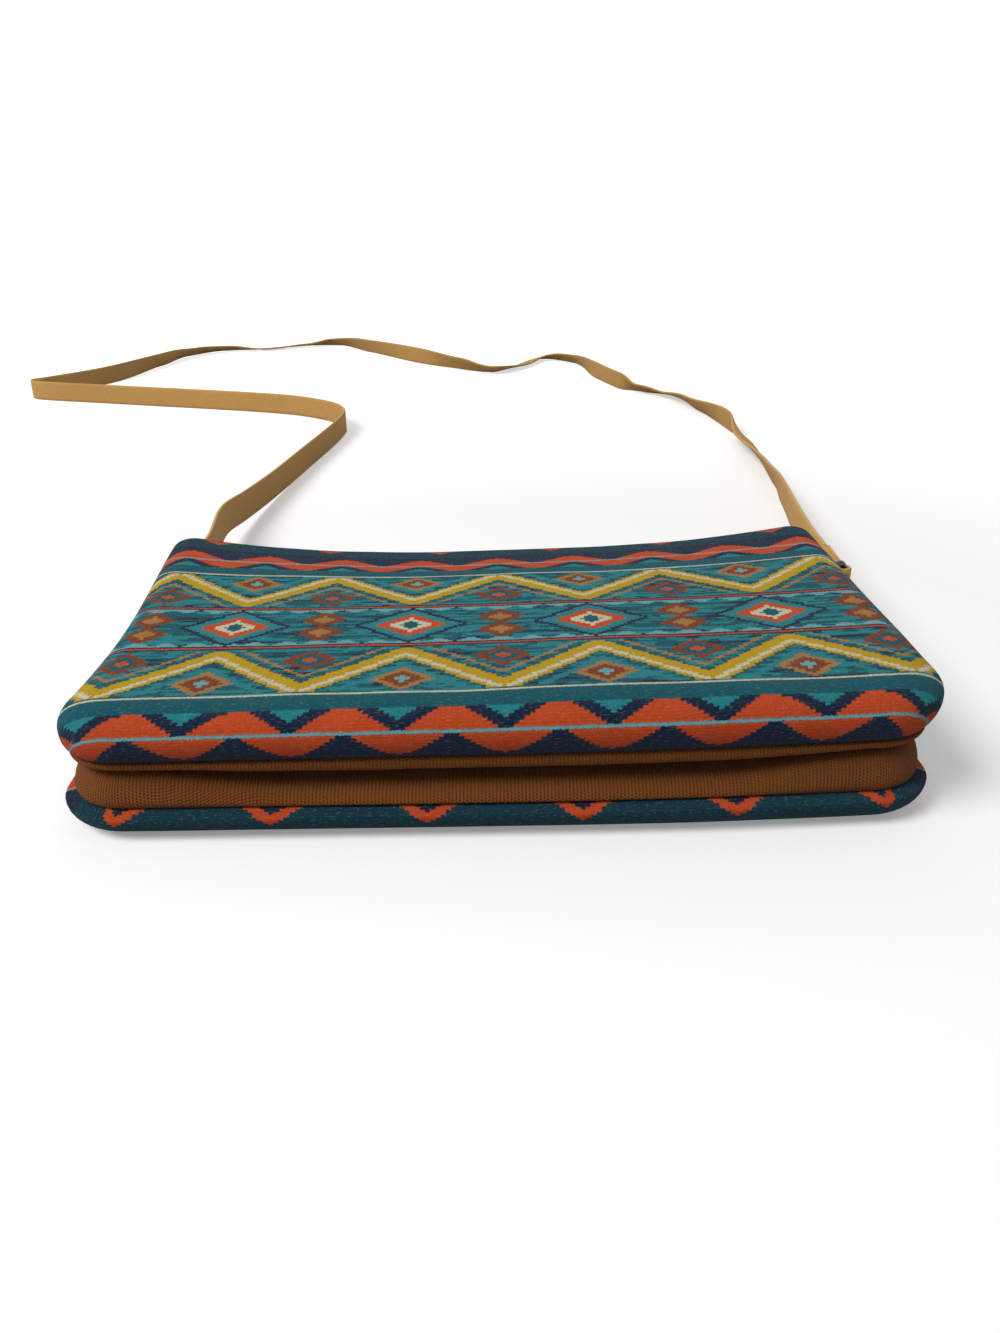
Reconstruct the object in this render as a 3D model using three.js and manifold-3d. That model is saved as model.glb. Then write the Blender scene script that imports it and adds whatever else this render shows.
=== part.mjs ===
// Flat crossbody bag. Two wool panels are joined by a canvas gusset that folds in like a bellows.
// A coil zip closes the top edge, and a long webbing strap hangs on two metal rings.
// The bag lies on its back panel: X runs along its width, Y from its bottom to its zip, Z up.
// Sizes are in millimetres. The origin is on the table under the middle of the bag.
import * as THREE from "three";
import Module from "manifold-3d";

const wasm = await Module();
wasm.setup();

// The bag as a whole
const BAG_WIDTH = 210;
const BAG_HEIGHT = 130;
const BAG_THICKNESS = 34;
const BOTTOM_CORNER = 17;
const TOP_CORNER = 9;
const GAP = 0.3;

// How the empty bag lies: thicker at the right, with its mouth sunk in the middle
const LEAN = 0.065;
const MOUTH_SAG = 5;

// Wool panels with rolled edges
const WOOL = 2.4;
const ROLL_DEPTH = 9;
const ROLL_HEIGHT = 6.5;
const ROLL_UNDER = 4.2;
const ROLL_TURN = Math.PI / 4;
const FACE_INSET = 48;

// Canvas gusset
const CANVAS = 0.9;
const TUCK = 3;
const GUSSET_LIP = 5.2;
const GUSSET_SWELL = 1.2;
const FOLD_DEPTH = 24;
const FOLD_CORNER_DEPTH = 11;
const FOLD_GAP = 1;
const GUSSET_END = 19;

// Lining
const LINING = 0.6;
const LINING_SLACK = 0.9;

// Zip
const TAPE = 0.7;
const ZIP_HEIGHT = 14.4;
const TOOTH_PITCH = 1.8;
const TOOTH_ROW = 1.7;
const TOOTH_DEPTH = 0.55;
const TOOTH_THICK = 1.9;
const ROW_SLIT = 1.3;
const TAB_REACH = 22;
const TAPE_UNDER_TAB = 9;
const STOP_LENGTH = 2;

// Zip slider and its pull
const SLIDER_LENGTH = 8.6;
const SLIDER_PLATE = 0.8;
const SLIDER_FLANGE = 0.65;
const SLIDER_PLAY = 0.25;
const BAIL_WIDTH = 1.6;
const BAIL_REACH = 2.6;
const BAIL_BAR = 0.8;
const PULL_LENGTH = 22;
const PULL_WIDTH = 5;
const PULL_THICK = 0.9;
const PULL_CROSSBAR = 1.1;
const PULL_SLOT = 3.2;

// Strap rings and their tabs
const RING_WIRE = 1.1;
const RING_REACH = 9.2;
const RING_CORNER = 2.2;
const RING_STANDOFF = 0.6;
const RING_TAB_WIDTH = 11.5;
const RING_ANGLE_RIGHT = 32;
const RING_ANGLE_LEFT = 95;
const RING_PLAY = 0.4;

// Strap
const STRAP_WIDTH = 12.7;
const STRAP_THICK = 1.4;
const LOOP_INSIDE = 3;
const LOOP_LEG = 22;
const STRAP_EXIT_RIGHT = 87;
const STRAP_EXIT_LEFT = 80;

// Route of the strap's middle line from the left ring to the right one.
// Each row: across, away, degrees it leans over from standing on edge, lift above the table.
const STRAP_ROUTE = [
  [-104, 98, 0, 9],
  [-110, 146, 0, 6],
  [-108, 178, 0, 3],
  [-104, 215, 0, 1],
  [-98, 266, 0, 0],
  [-87, 350, 0, 0],
  [-87, 372, 0, 0],
  [-94, 391, 0, 0],
  [-108, 406, 0, 0],
  [-131, 421, 0, 0],
  [-260, 460, 0, 0],
  [-306, 473, 0, 0],
  [-319, 479, 0, 0],
  [-322, 485, 0, 0],
  [-317, 491, 0, 0],
  [-286, 541, 0, 0],
  [-267, 620, 28, 0],
  [-256, 672, 55, 0],
  [-232, 702, 68, 0],
  [-198, 710, 84, 0],
  [-166, 730, 78, 0],
  [-138, 734, 58, 0],
  [-104, 694, 25, 0],
  [-58, 637, 5, 0],
  [-18, 594, 36, 0],
  [8, 578, 64, 0],
  [31, 606, 78, 0],
  [53, 645, 72, 0],
  [73, 628, 54, 0],
  [88, 556, 6, 0],
  [100, 509, 10, 0],
  [114, 490, 60, 0],
  [131, 476, 74, 0],
  [140, 424, 45, 0],
  [150, 366, 10, 0],
  [150, 326, 60, 0],
  [142, 236, 24, 1],
  [135, 192, 8, 4],
  [120, 110, 0, 10],
];
const STRAP_STEPS = 80;

// Sizes that follow from the ones above
const HALF_W = BAG_WIDTH / 2;
const HALF_H = BAG_HEIGHT / 2;
const MID = BAG_THICKNESS / 2;
const NOSE_Z = BAG_THICKNESS - ROLL_HEIGHT;
const SEAM_Z = NOSE_Z - ROLL_UNDER * Math.sin(ROLL_TURN);
const RIM_INSET = ROLL_DEPTH * (1 - Math.cos(ROLL_TURN));
const TUCK_INSET = RIM_INSET + WOOL + GAP;
const TAPE_INSET = TUCK_INSET + CANVAS + GAP;
const LINING_INSET = TAPE_INSET + TAPE + GAP;
const ZIP_Y = HALF_H - TAPE_INSET - TAPE / 2;
const ZIP_HALF = HALF_W - TAB_REACH - STOP_LENGTH - 2 * GAP;
const ROW_TIP = ROW_SLIT / 2;
const ROW_BACK = ROW_TIP + TOOTH_ROW;
const SEAM_Y = HALF_H - GUSSET_END;
const TAB_HALF = CANVAS;
const PIVOT_X = HALF_W + RING_WIRE + RING_STANDOFF;

// How much higher the soft pieces lie at a point across the bag
function lift(x) {
  return 1 + (LEAN * x) / HALF_W;
}

// How far the front panel sinks towards the middle of the mouth
function sag(x, y) {
  const across = Math.min(1, Math.abs(x) / HALF_W);
  const along = Math.min(1, Math.max(0, (y + HALF_H) / BAG_HEIGHT));
  return MOUTH_SAG * (1 - across * across) * along * along;
}

function smooth(t) {
  const u = Math.min(1, Math.max(0, t));
  return u * u * (3 - 2 * u);
}

// Turns a geometry's faces so that they all look out of the solid
function facingOut(points, faces) {
  let volume = 0;
  for (const [a, b, c] of faces) {
    volume += points[a].dot(new THREE.Vector3().crossVectors(points[b], points[c]));
  }
  return volume < 0 ? faces.map(([a, b, c]) => [a, c, b]) : faces;
}

function solid(points, faces) {
  const geometry = new THREE.BufferGeometry();
  const flat = points.flatMap((p) => [p.x, p.y, p.z]);
  geometry.setAttribute("position", new THREE.Float32BufferAttribute(flat, 3));
  geometry.setIndex(facingOut(points, faces).flat());
  geometry.computeVertexNormals();
  return geometry;
}

// Joins rings of equal length into one solid. Flat ends are filled from two of their coordinates.
function loft(rings, { closed = false, flatten = (p) => [p.x, p.y] } = {}) {
  const count = rings[0].length;
  const points = rings.flat();
  const faces = [];
  const last = closed ? rings.length : rings.length - 1;
  for (let i = 0; i < last; i += 1) {
    const a = i * count;
    const b = ((i + 1) % rings.length) * count;
    for (let j = 0; j < count; j += 1) {
      const k = (j + 1) % count;
      faces.push([a + j, a + k, b + k], [a + j, b + k, b + j]);
    }
  }
  if (!closed) {
    for (const [start, along] of [[0, false], [(rings.length - 1) * count, true]]) {
      const ring = points.slice(start, start + count).map((p) => new THREE.Vector2(...flatten(p)));
      const turn = Math.sign(THREE.ShapeUtils.area(ring));
      for (const face of THREE.ShapeUtils.triangulateShape(ring, [])) {
        const same = Math.sign(THREE.ShapeUtils.area(face.map((i) => ring[i]))) === turn;
        const ordered = same === along ? face : [...face].reverse();
        faces.push(ordered.map((i) => i + start));
      }
    }
  }
  return solid(points, faces);
}

// Outline of the bag, moved in by an inset: four rounded corners and evenly divided sides
function outline(inset) {
  const w = HALF_W - inset;
  const h = HALF_H - inset;
  const corners = [
    [w, -h, BOTTOM_CORNER, -90],
    [w, h, TOP_CORNER, 0],
    [-w, h, TOP_CORNER, 90],
    [-w, -h, BOTTOM_CORNER, 180],
  ];
  const arcs = corners.map(([x, y, radius, from]) => {
    const r = Math.max(radius - inset, 1.5);
    const cx = x - Math.sign(x) * r;
    const cy = y - Math.sign(y) * r;
    const steps = 5;
    return Array.from({ length: steps + 1 }, (_, i) => {
      const angle = THREE.MathUtils.degToRad(from + (90 * i) / steps);
      return [cx + r * Math.cos(angle), cy + r * Math.sin(angle)];
    });
  });
  const points = [];
  arcs.forEach((arc, i) => {
    points.push(...arc);
    const [x0, y0] = arc[arc.length - 1];
    const [x1, y1] = arcs[(i + 1) % 4][0];
    const steps = i % 2 === 0 ? 4 : 6;
    for (let k = 1; k < steps; k += 1) {
      points.push([x0 + ((x1 - x0) * k) / steps, y0 + ((y1 - y0) * k) / steps]);
    }
  });
  return points;
}

// A sheet that follows the outline: rows of inset and height, for the front or the back half
function shell(profile, front) {
  const rings = profile.map(([inset, z]) =>
    outline(inset).map(([x, y]) => {
      const height = front ? z * lift(x) - sag(x, y) : (BAG_THICKNESS - z) * lift(x);
      return new THREE.Vector3(x, y, height);
    })
  );
  return loft(rings);
}

// Section of a wool panel, from the middle of its face over the rolled edge and back inside
function panelProfile() {
  const turns = [90, 60, 32, 0, -22, -45].map(THREE.MathUtils.degToRad);
  const outer = turns.map((t) => {
    const rise = t > 0 ? ROLL_HEIGHT * Math.sin(t) : ROLL_UNDER * Math.sin(t);
    return [ROLL_DEPTH * (1 - Math.cos(t)), NOSE_Z + rise];
  });
  const inner = turns.map((t) => {
    const rise = t > 0 ? (ROLL_HEIGHT - WOOL) * Math.sin(t) : ROLL_UNDER * Math.sin(t);
    return [WOOL + (ROLL_DEPTH - WOOL) * (1 - Math.cos(t)), NOSE_Z + rise];
  });
  inner[inner.length - 1][0] = RIM_INSET + WOOL;
  const top = [FACE_INSET, 28, 17].map((inset) => [inset, BAG_THICKNESS]);
  const under = [17, 28, FACE_INSET].map((inset) => [inset, BAG_THICKNESS - WOOL]);
  return [...top, ...outer, ...inner.reverse(), ...under];
}

// Section of a lining, hung inside its panel
function liningProfile() {
  const face = BAG_THICKNESS - WOOL - LINING_SLACK;
  const outer = [
    [FACE_INSET, face],
    [LINING_INSET + 5, face],
    [LINING_INSET, face - 2],
    [LINING_INSET, SEAM_Z + 1],
  ];
  const inner = [
    [LINING_INSET + LINING, SEAM_Z + 1],
    [LINING_INSET + LINING, face - 2 - LINING],
    [LINING_INSET + 5, face - LINING],
    [FACE_INSET, face - LINING],
  ];
  return [...outer, ...inner];
}

// Moves an open line of points sideways by a distance, to its left
function offsetLine(line, distance) {
  const normals = line.slice(1).map((p, i) => {
    const d = new THREE.Vector2(p[0] - line[i][0], p[1] - line[i][1]).normalize();
    return new THREE.Vector2(-d.y, d.x);
  });
  return line.map(([u, v], i) => {
    const before = normals[Math.max(0, i - 1)];
    const after = normals[Math.min(normals.length - 1, i)];
    const n = before.clone().add(after).normalize();
    const reach = distance / Math.max(0.5, n.dot(before));
    return [u + n.x * reach, v + n.y * reach];
  });
}

// Section of the gusset for one depth of its fold: out of the seam, in to the fold and out again
function gussetSection(depth) {
  const mouth = TUCK_INSET + 4;
  const upper = [
    [TUCK_INSET, SEAM_Z + TUCK],
    [TUCK_INSET, SEAM_Z],
    [TUCK_INSET - GUSSET_SWELL, SEAM_Z - GUSSET_LIP * 0.4],
    [TUCK_INSET - GUSSET_SWELL * 0.7, SEAM_Z - GUSSET_LIP * 0.75],
    [TUCK_INSET + 1, SEAM_Z - GUSSET_LIP],
    [mouth, SEAM_Z - GUSSET_LIP - 0.5],
    [mouth + (depth - mouth) * 0.5, MID + FOLD_GAP * 0.9],
    [depth, MID + FOLD_GAP / 2],
  ];
  const lower = upper.map(([inset, z]) => [inset, BAG_THICKNESS - z]).reverse();
  const face = [...upper, ...lower];
  return [...face, ...offsetLine(face, CANVAS).reverse()];
}

// Stations of the gusset: down the left side, round the bottom and up the right side
function gussetStations() {
  const low = -HALF_H + BOTTOM_CORNER;
  const side = HALF_W - BOTTOM_CORNER;
  const top = SEAM_Y - TAB_HALF - GAP;
  const stations = [];
  const add = (x, y, angle) => {
    const inward = new THREE.Vector2(-Math.cos(angle), -Math.sin(angle));
    stations.push({ x, y, inward });
  };
  for (let i = 0; i <= 6; i += 1) {
    add(-HALF_W, top + ((low - top) * i) / 6, Math.PI);
  }
  for (let i = 1; i <= 6; i += 1) {
    const angle = Math.PI + (Math.PI / 2) * (i / 6);
    add(-side + BOTTOM_CORNER * Math.cos(angle), low + BOTTOM_CORNER * Math.sin(angle), angle);
  }
  for (let i = 1; i <= 10; i += 1) {
    add(-side + (2 * side * i) / 10, -HALF_H, -Math.PI / 2);
  }
  for (let i = 1; i <= 6; i += 1) {
    const angle = -Math.PI / 2 + (Math.PI / 2) * (i / 6);
    add(side + BOTTOM_CORNER * Math.cos(angle), low + BOTTOM_CORNER * Math.sin(angle), angle);
  }
  for (let i = 1; i <= 6; i += 1) {
    add(HALF_W, low + ((top - low) * i) / 6, 0);
  }
  return stations;
}

// The fold is deepest in the middle of each side and shallow at the corners and the top ends
function foldDepth(x, y) {
  const fromBottom = smooth((HALF_W - BOTTOM_CORNER - Math.abs(x)) / (FOLD_DEPTH * 1.6));
  const up = (y + HALF_H - BOTTOM_CORNER) / (FOLD_DEPTH * 1.4);
  const down = (SEAM_Y - y) / (FOLD_DEPTH * 1.2);
  const onSide = Math.min(smooth(up), smooth(down));
  const share = Math.abs(x) >= HALF_W - 0.01 ? onSide : fromBottom;
  return FOLD_CORNER_DEPTH + (FOLD_DEPTH - FOLD_CORNER_DEPTH) * share;
}

function gusset() {
  const rings = gussetStations().map(({ x, y, inward }) =>
    gussetSection(foldDepth(x, y)).map(([inset, z]) => {
      const px = x + inward.x * inset;
      return new THREE.Vector3(px, y + inward.y * inset, z * lift(px));
    })
  );
  return loft(rings, { flatten: (p) => [p.x, p.z] });
}

// Canvas end tab: a flat strip from the end of the zip round the top corner to the ring tab
function zipTab(side) {
  const edge = HALF_W - TOP_CORNER;
  const far = HALF_H - TOP_CORNER;
  const stops = [
    [HALF_W - TAB_REACH, HALF_H, 90],
    [edge, HALF_H, 90],
  ];
  for (let i = 1; i <= 4; i += 1) {
    const angle = THREE.MathUtils.degToRad(90 - (90 * i) / 4);
    const x = edge + TOP_CORNER * Math.cos(angle);
    stops.push([x, far + TOP_CORNER * Math.sin(angle), 90 - (90 * i) / 4]);
  }
  stops.push([HALF_W, SEAM_Y + TAB_HALF + GAP, 0]);
  const top = SEAM_Z + TUCK;
  const rings = stops.map(([x, y, degrees]) => {
    const angle = THREE.MathUtils.degToRad(degrees);
    const at = (inset, front) => {
      const px = side * (x - Math.cos(angle) * inset);
      const py = y - Math.sin(angle) * inset;
      const z = front ? top * lift(px) - sag(px, py) : (BAG_THICKNESS - top) * lift(px);
      return new THREE.Vector3(px, py, z);
    };
    const inner = TUCK_INSET + CANVAS;
    return [at(TUCK_INSET, true), at(inner, true), at(inner, false), at(TUCK_INSET, false)];
  });
  return loft(rings, { flatten: (p) => [p.x + p.y, p.z] });
}

// Zip tape: straight along the teeth, its other edge sewn under the panel's rim
function zipTape(front) {
  const reach = HALF_W - TAB_REACH + TAPE_UNDER_TAB;
  const near = HALF_H - TAPE_INSET - TAPE;
  const far = HALF_H - TAPE_INSET;
  const rings = [];
  for (let i = 0; i <= 12; i += 1) {
    const x = -reach + (2 * reach * i) / 12;
    const sewn = SEAM_Z + TUCK * 0.6;
    const edge = front ? sewn * lift(x) - sag(x, far) : (BAG_THICKNESS - sewn) * lift(x);
    const free = ZIP_HEIGHT + (front ? 1 : -1) * (ROW_BACK + GAP);
    rings.push([
      new THREE.Vector3(x, near, free),
      new THREE.Vector3(x, far, free),
      new THREE.Vector3(x, far, edge),
      new THREE.Vector3(x, near, edge),
    ]);
  }
  return loft(rings, { flatten: (p) => [p.y, p.z] });
}

function polygon(points) {
  return new THREE.Shape(points.map(([x, y]) => new THREE.Vector2(x, y)));
}

function extrude(shape, depth, curveSegments = 8) {
  return new THREE.ExtrudeGeometry(shape, { depth, bevelEnabled: false, steps: 1, curveSegments });
}

// Stands a shape drawn across and up into place, with its thickness along Y
function standing(shape, depth) {
  const geometry = extrude(shape, depth);
  geometry.translate(0, 0, -depth / 2);
  geometry.rotateX(Math.PI / 2);
  return geometry;
}

// One row of zip teeth: a bar with evenly pitched teeth towards the other row
function zipTeeth(side) {
  const count = Math.floor((2 * ZIP_HALF) / TOOTH_PITCH) - 1;
  const start = -(count * TOOTH_PITCH) / 2;
  const shift = side > 0 ? 0 : TOOTH_PITCH / 2;
  const points = [];
  for (let i = 0; i < count; i += 1) {
    const x = start + i * TOOTH_PITCH + shift;
    points.push([x, ROW_TIP + TOOTH_DEPTH]);
    points.push([x + TOOTH_PITCH * 0.2, ROW_TIP]);
    points.push([x + TOOTH_PITCH * 0.5, ROW_TIP]);
    points.push([x + TOOTH_PITCH * 0.7, ROW_TIP + TOOTH_DEPTH]);
  }
  const end = points[points.length - 1][0];
  points.push([end, ROW_BACK], [points[0][0], ROW_BACK]);
  const geometry = standing(polygon(points.map(([x, z]) => [x, side * z])), TOOTH_THICK);
  geometry.translate(0, ZIP_Y, ZIP_HEIGHT);
  return geometry;
}

function block(x, y, z, sx, sy, sz) {
  const geometry = new THREE.BoxGeometry(sx, sy, sz);
  geometry.translate(x, y, z);
  return geometry;
}

// Bottom stop across both rows of teeth at the left, and a top stop on each row at the right
function zipStop(kind) {
  const x = ZIP_HALF + STOP_LENGTH / 2 + GAP;
  const thick = TOOTH_THICK;
  if (kind === "bottom") {
    return block(-x, ZIP_Y, ZIP_HEIGHT, STOP_LENGTH, thick, 2 * ROW_BACK);
  }
  const side = kind === "front" ? 1 : -1;
  const z = ZIP_HEIGHT + side * (ROW_TIP + TOOTH_ROW / 2);
  return block(x, ZIP_Y, z, STOP_LENGTH, thick, TOOTH_ROW);
}

function toManifold(geometry) {
  const flat = geometry.index ? geometry : weld(geometry);
  const mesh = new wasm.Mesh({
    numProp: 3,
    vertProperties: new Float32Array(flat.attributes.position.array),
    triVerts: new Uint32Array(flat.index.array),
  });
  mesh.merge();
  return new wasm.Manifold(mesh);
}

// Gives every corner of a geometry an index of its own
function weld(geometry) {
  const indexed = geometry.clone();
  const count = indexed.attributes.position.count;
  indexed.setIndex(Array.from({ length: count }, (_, i) => i));
  return indexed;
}

function fromManifold(body) {
  const mesh = body.getMesh();
  const geometry = new THREE.BufferGeometry();
  geometry.setAttribute("position", new THREE.Float32BufferAttribute(mesh.vertProperties, 3));
  geometry.setIndex(Array.from(mesh.triVerts));
  geometry.computeVertexNormals();
  return geometry;
}

// Sizes of the slider that follow from the teeth it runs on
const CHANNEL_Y = TOOTH_THICK / 2 + SLIDER_PLAY;
const SLIDER_Y = CHANNEL_Y + SLIDER_PLATE;
const SLOT_Y = TAPE / 2 + GAP;
const POST = ROW_TIP - 0.2;
const CHANNEL_Z = ROW_BACK + SLIDER_PLAY + 0.15;
const SLIDER_Z = CHANNEL_Z + SLIDER_FLANGE;
const SLIDER_X = ZIP_HALF - SLIDER_LENGTH / 2 - 1;
const PULL_AXIS_Y = ZIP_Y + SLIDER_Y + PULL_CROSSBAR / 2 + GAP + 0.1;

// Zip slider: two plates on a middle post, with slots for the tapes and a bail for the pull
function zipSlider() {
  const quarter = [
    [SLIDER_Z, SLIDER_Y],
    [SLIDER_Z, SLOT_Y],
    [CHANNEL_Z, SLOT_Y],
    [CHANNEL_Z, CHANNEL_Y],
    [POST, CHANNEL_Y],
  ];
  const mirror = (sz, sy) => quarter.map(([z, y]) => [sz * z, sy * y]);
  const section = [
    ...mirror(1, 1),
    ...mirror(1, -1).reverse(),
    ...mirror(-1, -1),
    ...mirror(-1, 1).reverse(),
  ];
  const rail = extrude(polygon(section), SLIDER_LENGTH);
  rail.translate(0, 0, -SLIDER_LENGTH / 2);
  const place = new THREE.Matrix4().makeBasis(
    new THREE.Vector3(0, 0, 1),
    new THREE.Vector3(0, 1, 0),
    new THREE.Vector3(-1, 0, 0)
  );
  rail.applyMatrix4(place);
  const half = SLIDER_LENGTH / 2;
  const plan = [
    [-half, -SLIDER_Z * 0.7],
    [-half * 0.2, -SLIDER_Z],
    [half * 0.6, -SLIDER_Z],
    [half, -SLIDER_Z * 0.72],
    [half, SLIDER_Z * 0.72],
    [half * 0.6, SLIDER_Z],
    [-half * 0.2, SLIDER_Z],
    [-half, SLIDER_Z * 0.7],
  ];
  const cutter = standing(polygon(plan), 4 * SLIDER_Y);
  const shaped = toManifold(rail).intersect(toManifold(cutter));
  const rise = PULL_AXIS_Y - ZIP_Y + PULL_CROSSBAR / 2 + GAP + 0.25;
  const foot = SLIDER_Y - 0.3;
  const bail = polygon([
    [-BAIL_REACH - BAIL_BAR, foot],
    [-BAIL_REACH, foot],
    [-BAIL_REACH + 0.4, rise],
    [BAIL_REACH - 0.4, rise],
    [BAIL_REACH, foot],
    [BAIL_REACH + BAIL_BAR, foot],
    [BAIL_REACH, rise + BAIL_BAR],
    [-BAIL_REACH, rise + BAIL_BAR],
  ]);
  const arch = extrude(bail, BAIL_WIDTH);
  arch.translate(0, 0, -BAIL_WIDTH / 2);
  const geometry = fromManifold(shaped.add(toManifold(arch)));
  geometry.translate(SLIDER_X, ZIP_Y, ZIP_HEIGHT);
  return geometry;
}

// Zip pull: a flat tongue whose end bar passes under the slider's bail
function zipPull() {
  const bar = PULL_CROSSBAR / 2;
  const w = PULL_WIDTH / 2;
  const narrow = BAIL_WIDTH / 2 + GAP + 1;
  const shape = polygon([
    [bar, -narrow],
    [bar, narrow],
    [-bar - PULL_SLOT - 1, narrow],
    [-bar - PULL_SLOT - 5, w],
    [-PULL_LENGTH + 1.5, w],
    [-PULL_LENGTH, w - 1.5],
    [-PULL_LENGTH, -w + 1.5],
    [-PULL_LENGTH + 1.5, -w],
    [-bar - PULL_SLOT - 5, -w],
    [-bar - PULL_SLOT - 1, -narrow],
  ]);
  const slot = BAIL_WIDTH / 2 + GAP;
  shape.holes.push(polygon([[-bar, -slot], [-bar, slot], [-bar - PULL_SLOT, slot], [-bar - PULL_SLOT, -slot]]));
  const geometry = standing(shape, PULL_THICK);
  geometry.translate(SLIDER_X, PULL_AXIS_Y, ZIP_HEIGHT);
  return geometry;
}

// A loop of flat tape seen from above: round a bar at one end, doubled and sewn flat at the other
function tapeLoop(inside, thick, leg, width) {
  const outside = inside + thick;
  const meet = Math.asin(Math.min(0.95, thick / outside));
  const shape = new THREE.Shape();
  shape.absarc(0, 0, outside, meet, 2 * Math.PI - meet, false);
  shape.lineTo(leg, -thick);
  shape.lineTo(leg, thick);
  const hole = new THREE.Path();
  hole.absarc(0, 0, inside, 0, 2 * Math.PI, true);
  shape.holes.push(hole);
  const geometry = extrude(shape, width, 10);
  geometry.translate(0, 0, -width / 2);
  return geometry;
}

// Where a ring turns and where its outer bar is, for the right side (1) or the left side (-1)
function ringPlace(side) {
  const angle = THREE.MathUtils.degToRad(side > 0 ? RING_ANGLE_RIGHT : RING_ANGLE_LEFT);
  const pivot = new THREE.Vector3(side * PIVOT_X, SEAM_Y, MID * lift(side * HALF_W));
  const toward = new THREE.Vector3(Math.cos(angle), Math.sin(angle), 0);
  return { pivot, toward, bar: pivot.clone().addScaledVector(toward, RING_REACH) };
}

// Canvas tab: sewn into the side between the gusset and the end tab, with its loop round the ring
function ringTab(side) {
  const { pivot } = ringPlace(side);
  const sewn = PIVOT_X - (HALF_W - TUCK_INSET - CANVAS - 1);
  const geometry = tapeLoop(RING_WIRE + RING_PLAY, CANVAS, sewn, RING_TAB_WIDTH);
  if (side > 0) {
    geometry.rotateZ(Math.PI);
  }
  geometry.translate(pivot.x, pivot.y, pivot.z);
  return geometry;
}

// Rectangular wire ring with rounded corners
function strapRing(side) {
  const { pivot, toward } = ringPlace(side);
  const half = STRAP_WIDTH / 2 + RING_PLAY + RING_WIRE;
  const corners = [
    [RING_REACH, half, 0],
    [0, half, 90],
    [0, -half, 180],
    [RING_REACH, -half, 270],
  ];
  const rings = [];
  for (const [u, v, from] of corners) {
    const cu = u - (u > 0 ? 1 : -1) * RING_CORNER;
    const cv = v - Math.sign(v) * RING_CORNER;
    for (let i = 0; i <= 4; i += 1) {
      const angle = THREE.MathUtils.degToRad(from + (90 * i) / 4);
      const out = toward.clone().multiplyScalar(Math.cos(angle));
      out.z = Math.sin(angle);
      const centre = pivot.clone().addScaledVector(toward, cu + RING_CORNER * Math.cos(angle));
      centre.z += cv + RING_CORNER * Math.sin(angle);
      const across = new THREE.Vector3(-toward.y, toward.x, 0);
      const ring = [];
      for (let k = 0; k < 8; k += 1) {
        const turn = (Math.PI * 2 * k) / 8;
        const point = centre.clone().addScaledVector(out, RING_WIRE * Math.cos(turn));
        ring.push(point.addScaledVector(across, RING_WIRE * Math.sin(turn)));
      }
      rings.push(ring);
    }
  }
  return loft(rings, { closed: true });
}

function exitDirection(side) {
  const angle = THREE.MathUtils.degToRad(side > 0 ? STRAP_EXIT_RIGHT : STRAP_EXIT_LEFT);
  return new THREE.Vector3(Math.cos(angle), Math.sin(angle), 0);
}

// Folded strap end: a loop round the ring's outer bar and a doubled, sewn leg
function strapEnd(side) {
  const { bar } = ringPlace(side);
  const geometry = tapeLoop(LOOP_INSIDE, STRAP_THICK, LOOP_LEG, STRAP_WIDTH);
  const direction = exitDirection(side);
  geometry.rotateZ(Math.atan2(direction.y, direction.x));
  geometry.translate(bar.x, bar.y, bar.z);
  return geometry;
}

// The strap between its two sewn ends, a flat tape that turns as it lies on the table
function strap() {
  const ends = [-1, 1].map((side) => {
    const { bar } = ringPlace(side);
    return bar.clone().addScaledVector(exitDirection(side), LOOP_LEG + GAP);
  });
  const route = STRAP_ROUTE.map(([x, y, lean, raise]) => {
    const turn = THREE.MathUtils.degToRad(lean);
    const rest = (STRAP_WIDTH / 2) * Math.cos(turn) + (STRAP_THICK / 2) * Math.sin(turn);
    return { point: new THREE.Vector3(x, y, rest + raise + 0.1), turn };
  });
  const stops = [{ point: ends[0], turn: 0 }, ...route, { point: ends[1], turn: 0 }];
  const curve = new THREE.CatmullRomCurve3(stops.map((stop) => stop.point), false, "centripetal");
  const up = new THREE.Vector3(0, 0, 1);
  const rings = [];
  for (let i = 0; i <= STRAP_STEPS; i += 1) {
    const t = i / STRAP_STEPS;
    const along = curve.getTangent(t);
    if (i === 0) {
      along.copy(exitDirection(-1));
    } else if (i === STRAP_STEPS) {
      along.copy(exitDirection(1)).negate();
    }
    const place = t * (stops.length - 1);
    const k = Math.min(stops.length - 2, Math.floor(place));
    const turn = stops[k].turn + (stops[k + 1].turn - stops[k].turn) * smooth(place - k);
    const face = new THREE.Vector3().crossVectors(along, up).normalize();
    const tall = new THREE.Vector3().crossVectors(face, along).normalize();
    const wide = tall.clone().multiplyScalar(Math.cos(turn)).addScaledVector(face, Math.sin(turn));
    const thin = new THREE.Vector3().crossVectors(along, wide).normalize();
    const centre = curve.getPoint(t);
    const reach = (STRAP_WIDTH / 2) * Math.abs(wide.z) + (STRAP_THICK / 2) * Math.abs(thin.z);
    centre.z = Math.max(centre.z, reach + 0.05);
    rings.push(
      [[1, 1], [-1, 1], [-1, -1], [1, -1]].map(([a, b]) =>
        centre
          .clone()
          .addScaledVector(wide, (a * STRAP_WIDTH) / 2)
          .addScaledVector(thin, (b * STRAP_THICK) / 2)
      )
    );
  }
  return loft(rings, { flatten: (p) => [p.x, p.z] });
}

function material(name, color, roughness, metalness) {
  const made = new THREE.MeshStandardMaterial({ color, roughness, metalness });
  made.name = name;
  return made;
}

const bag = new THREE.Group();
bag.name = "crossbody_bag";

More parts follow.
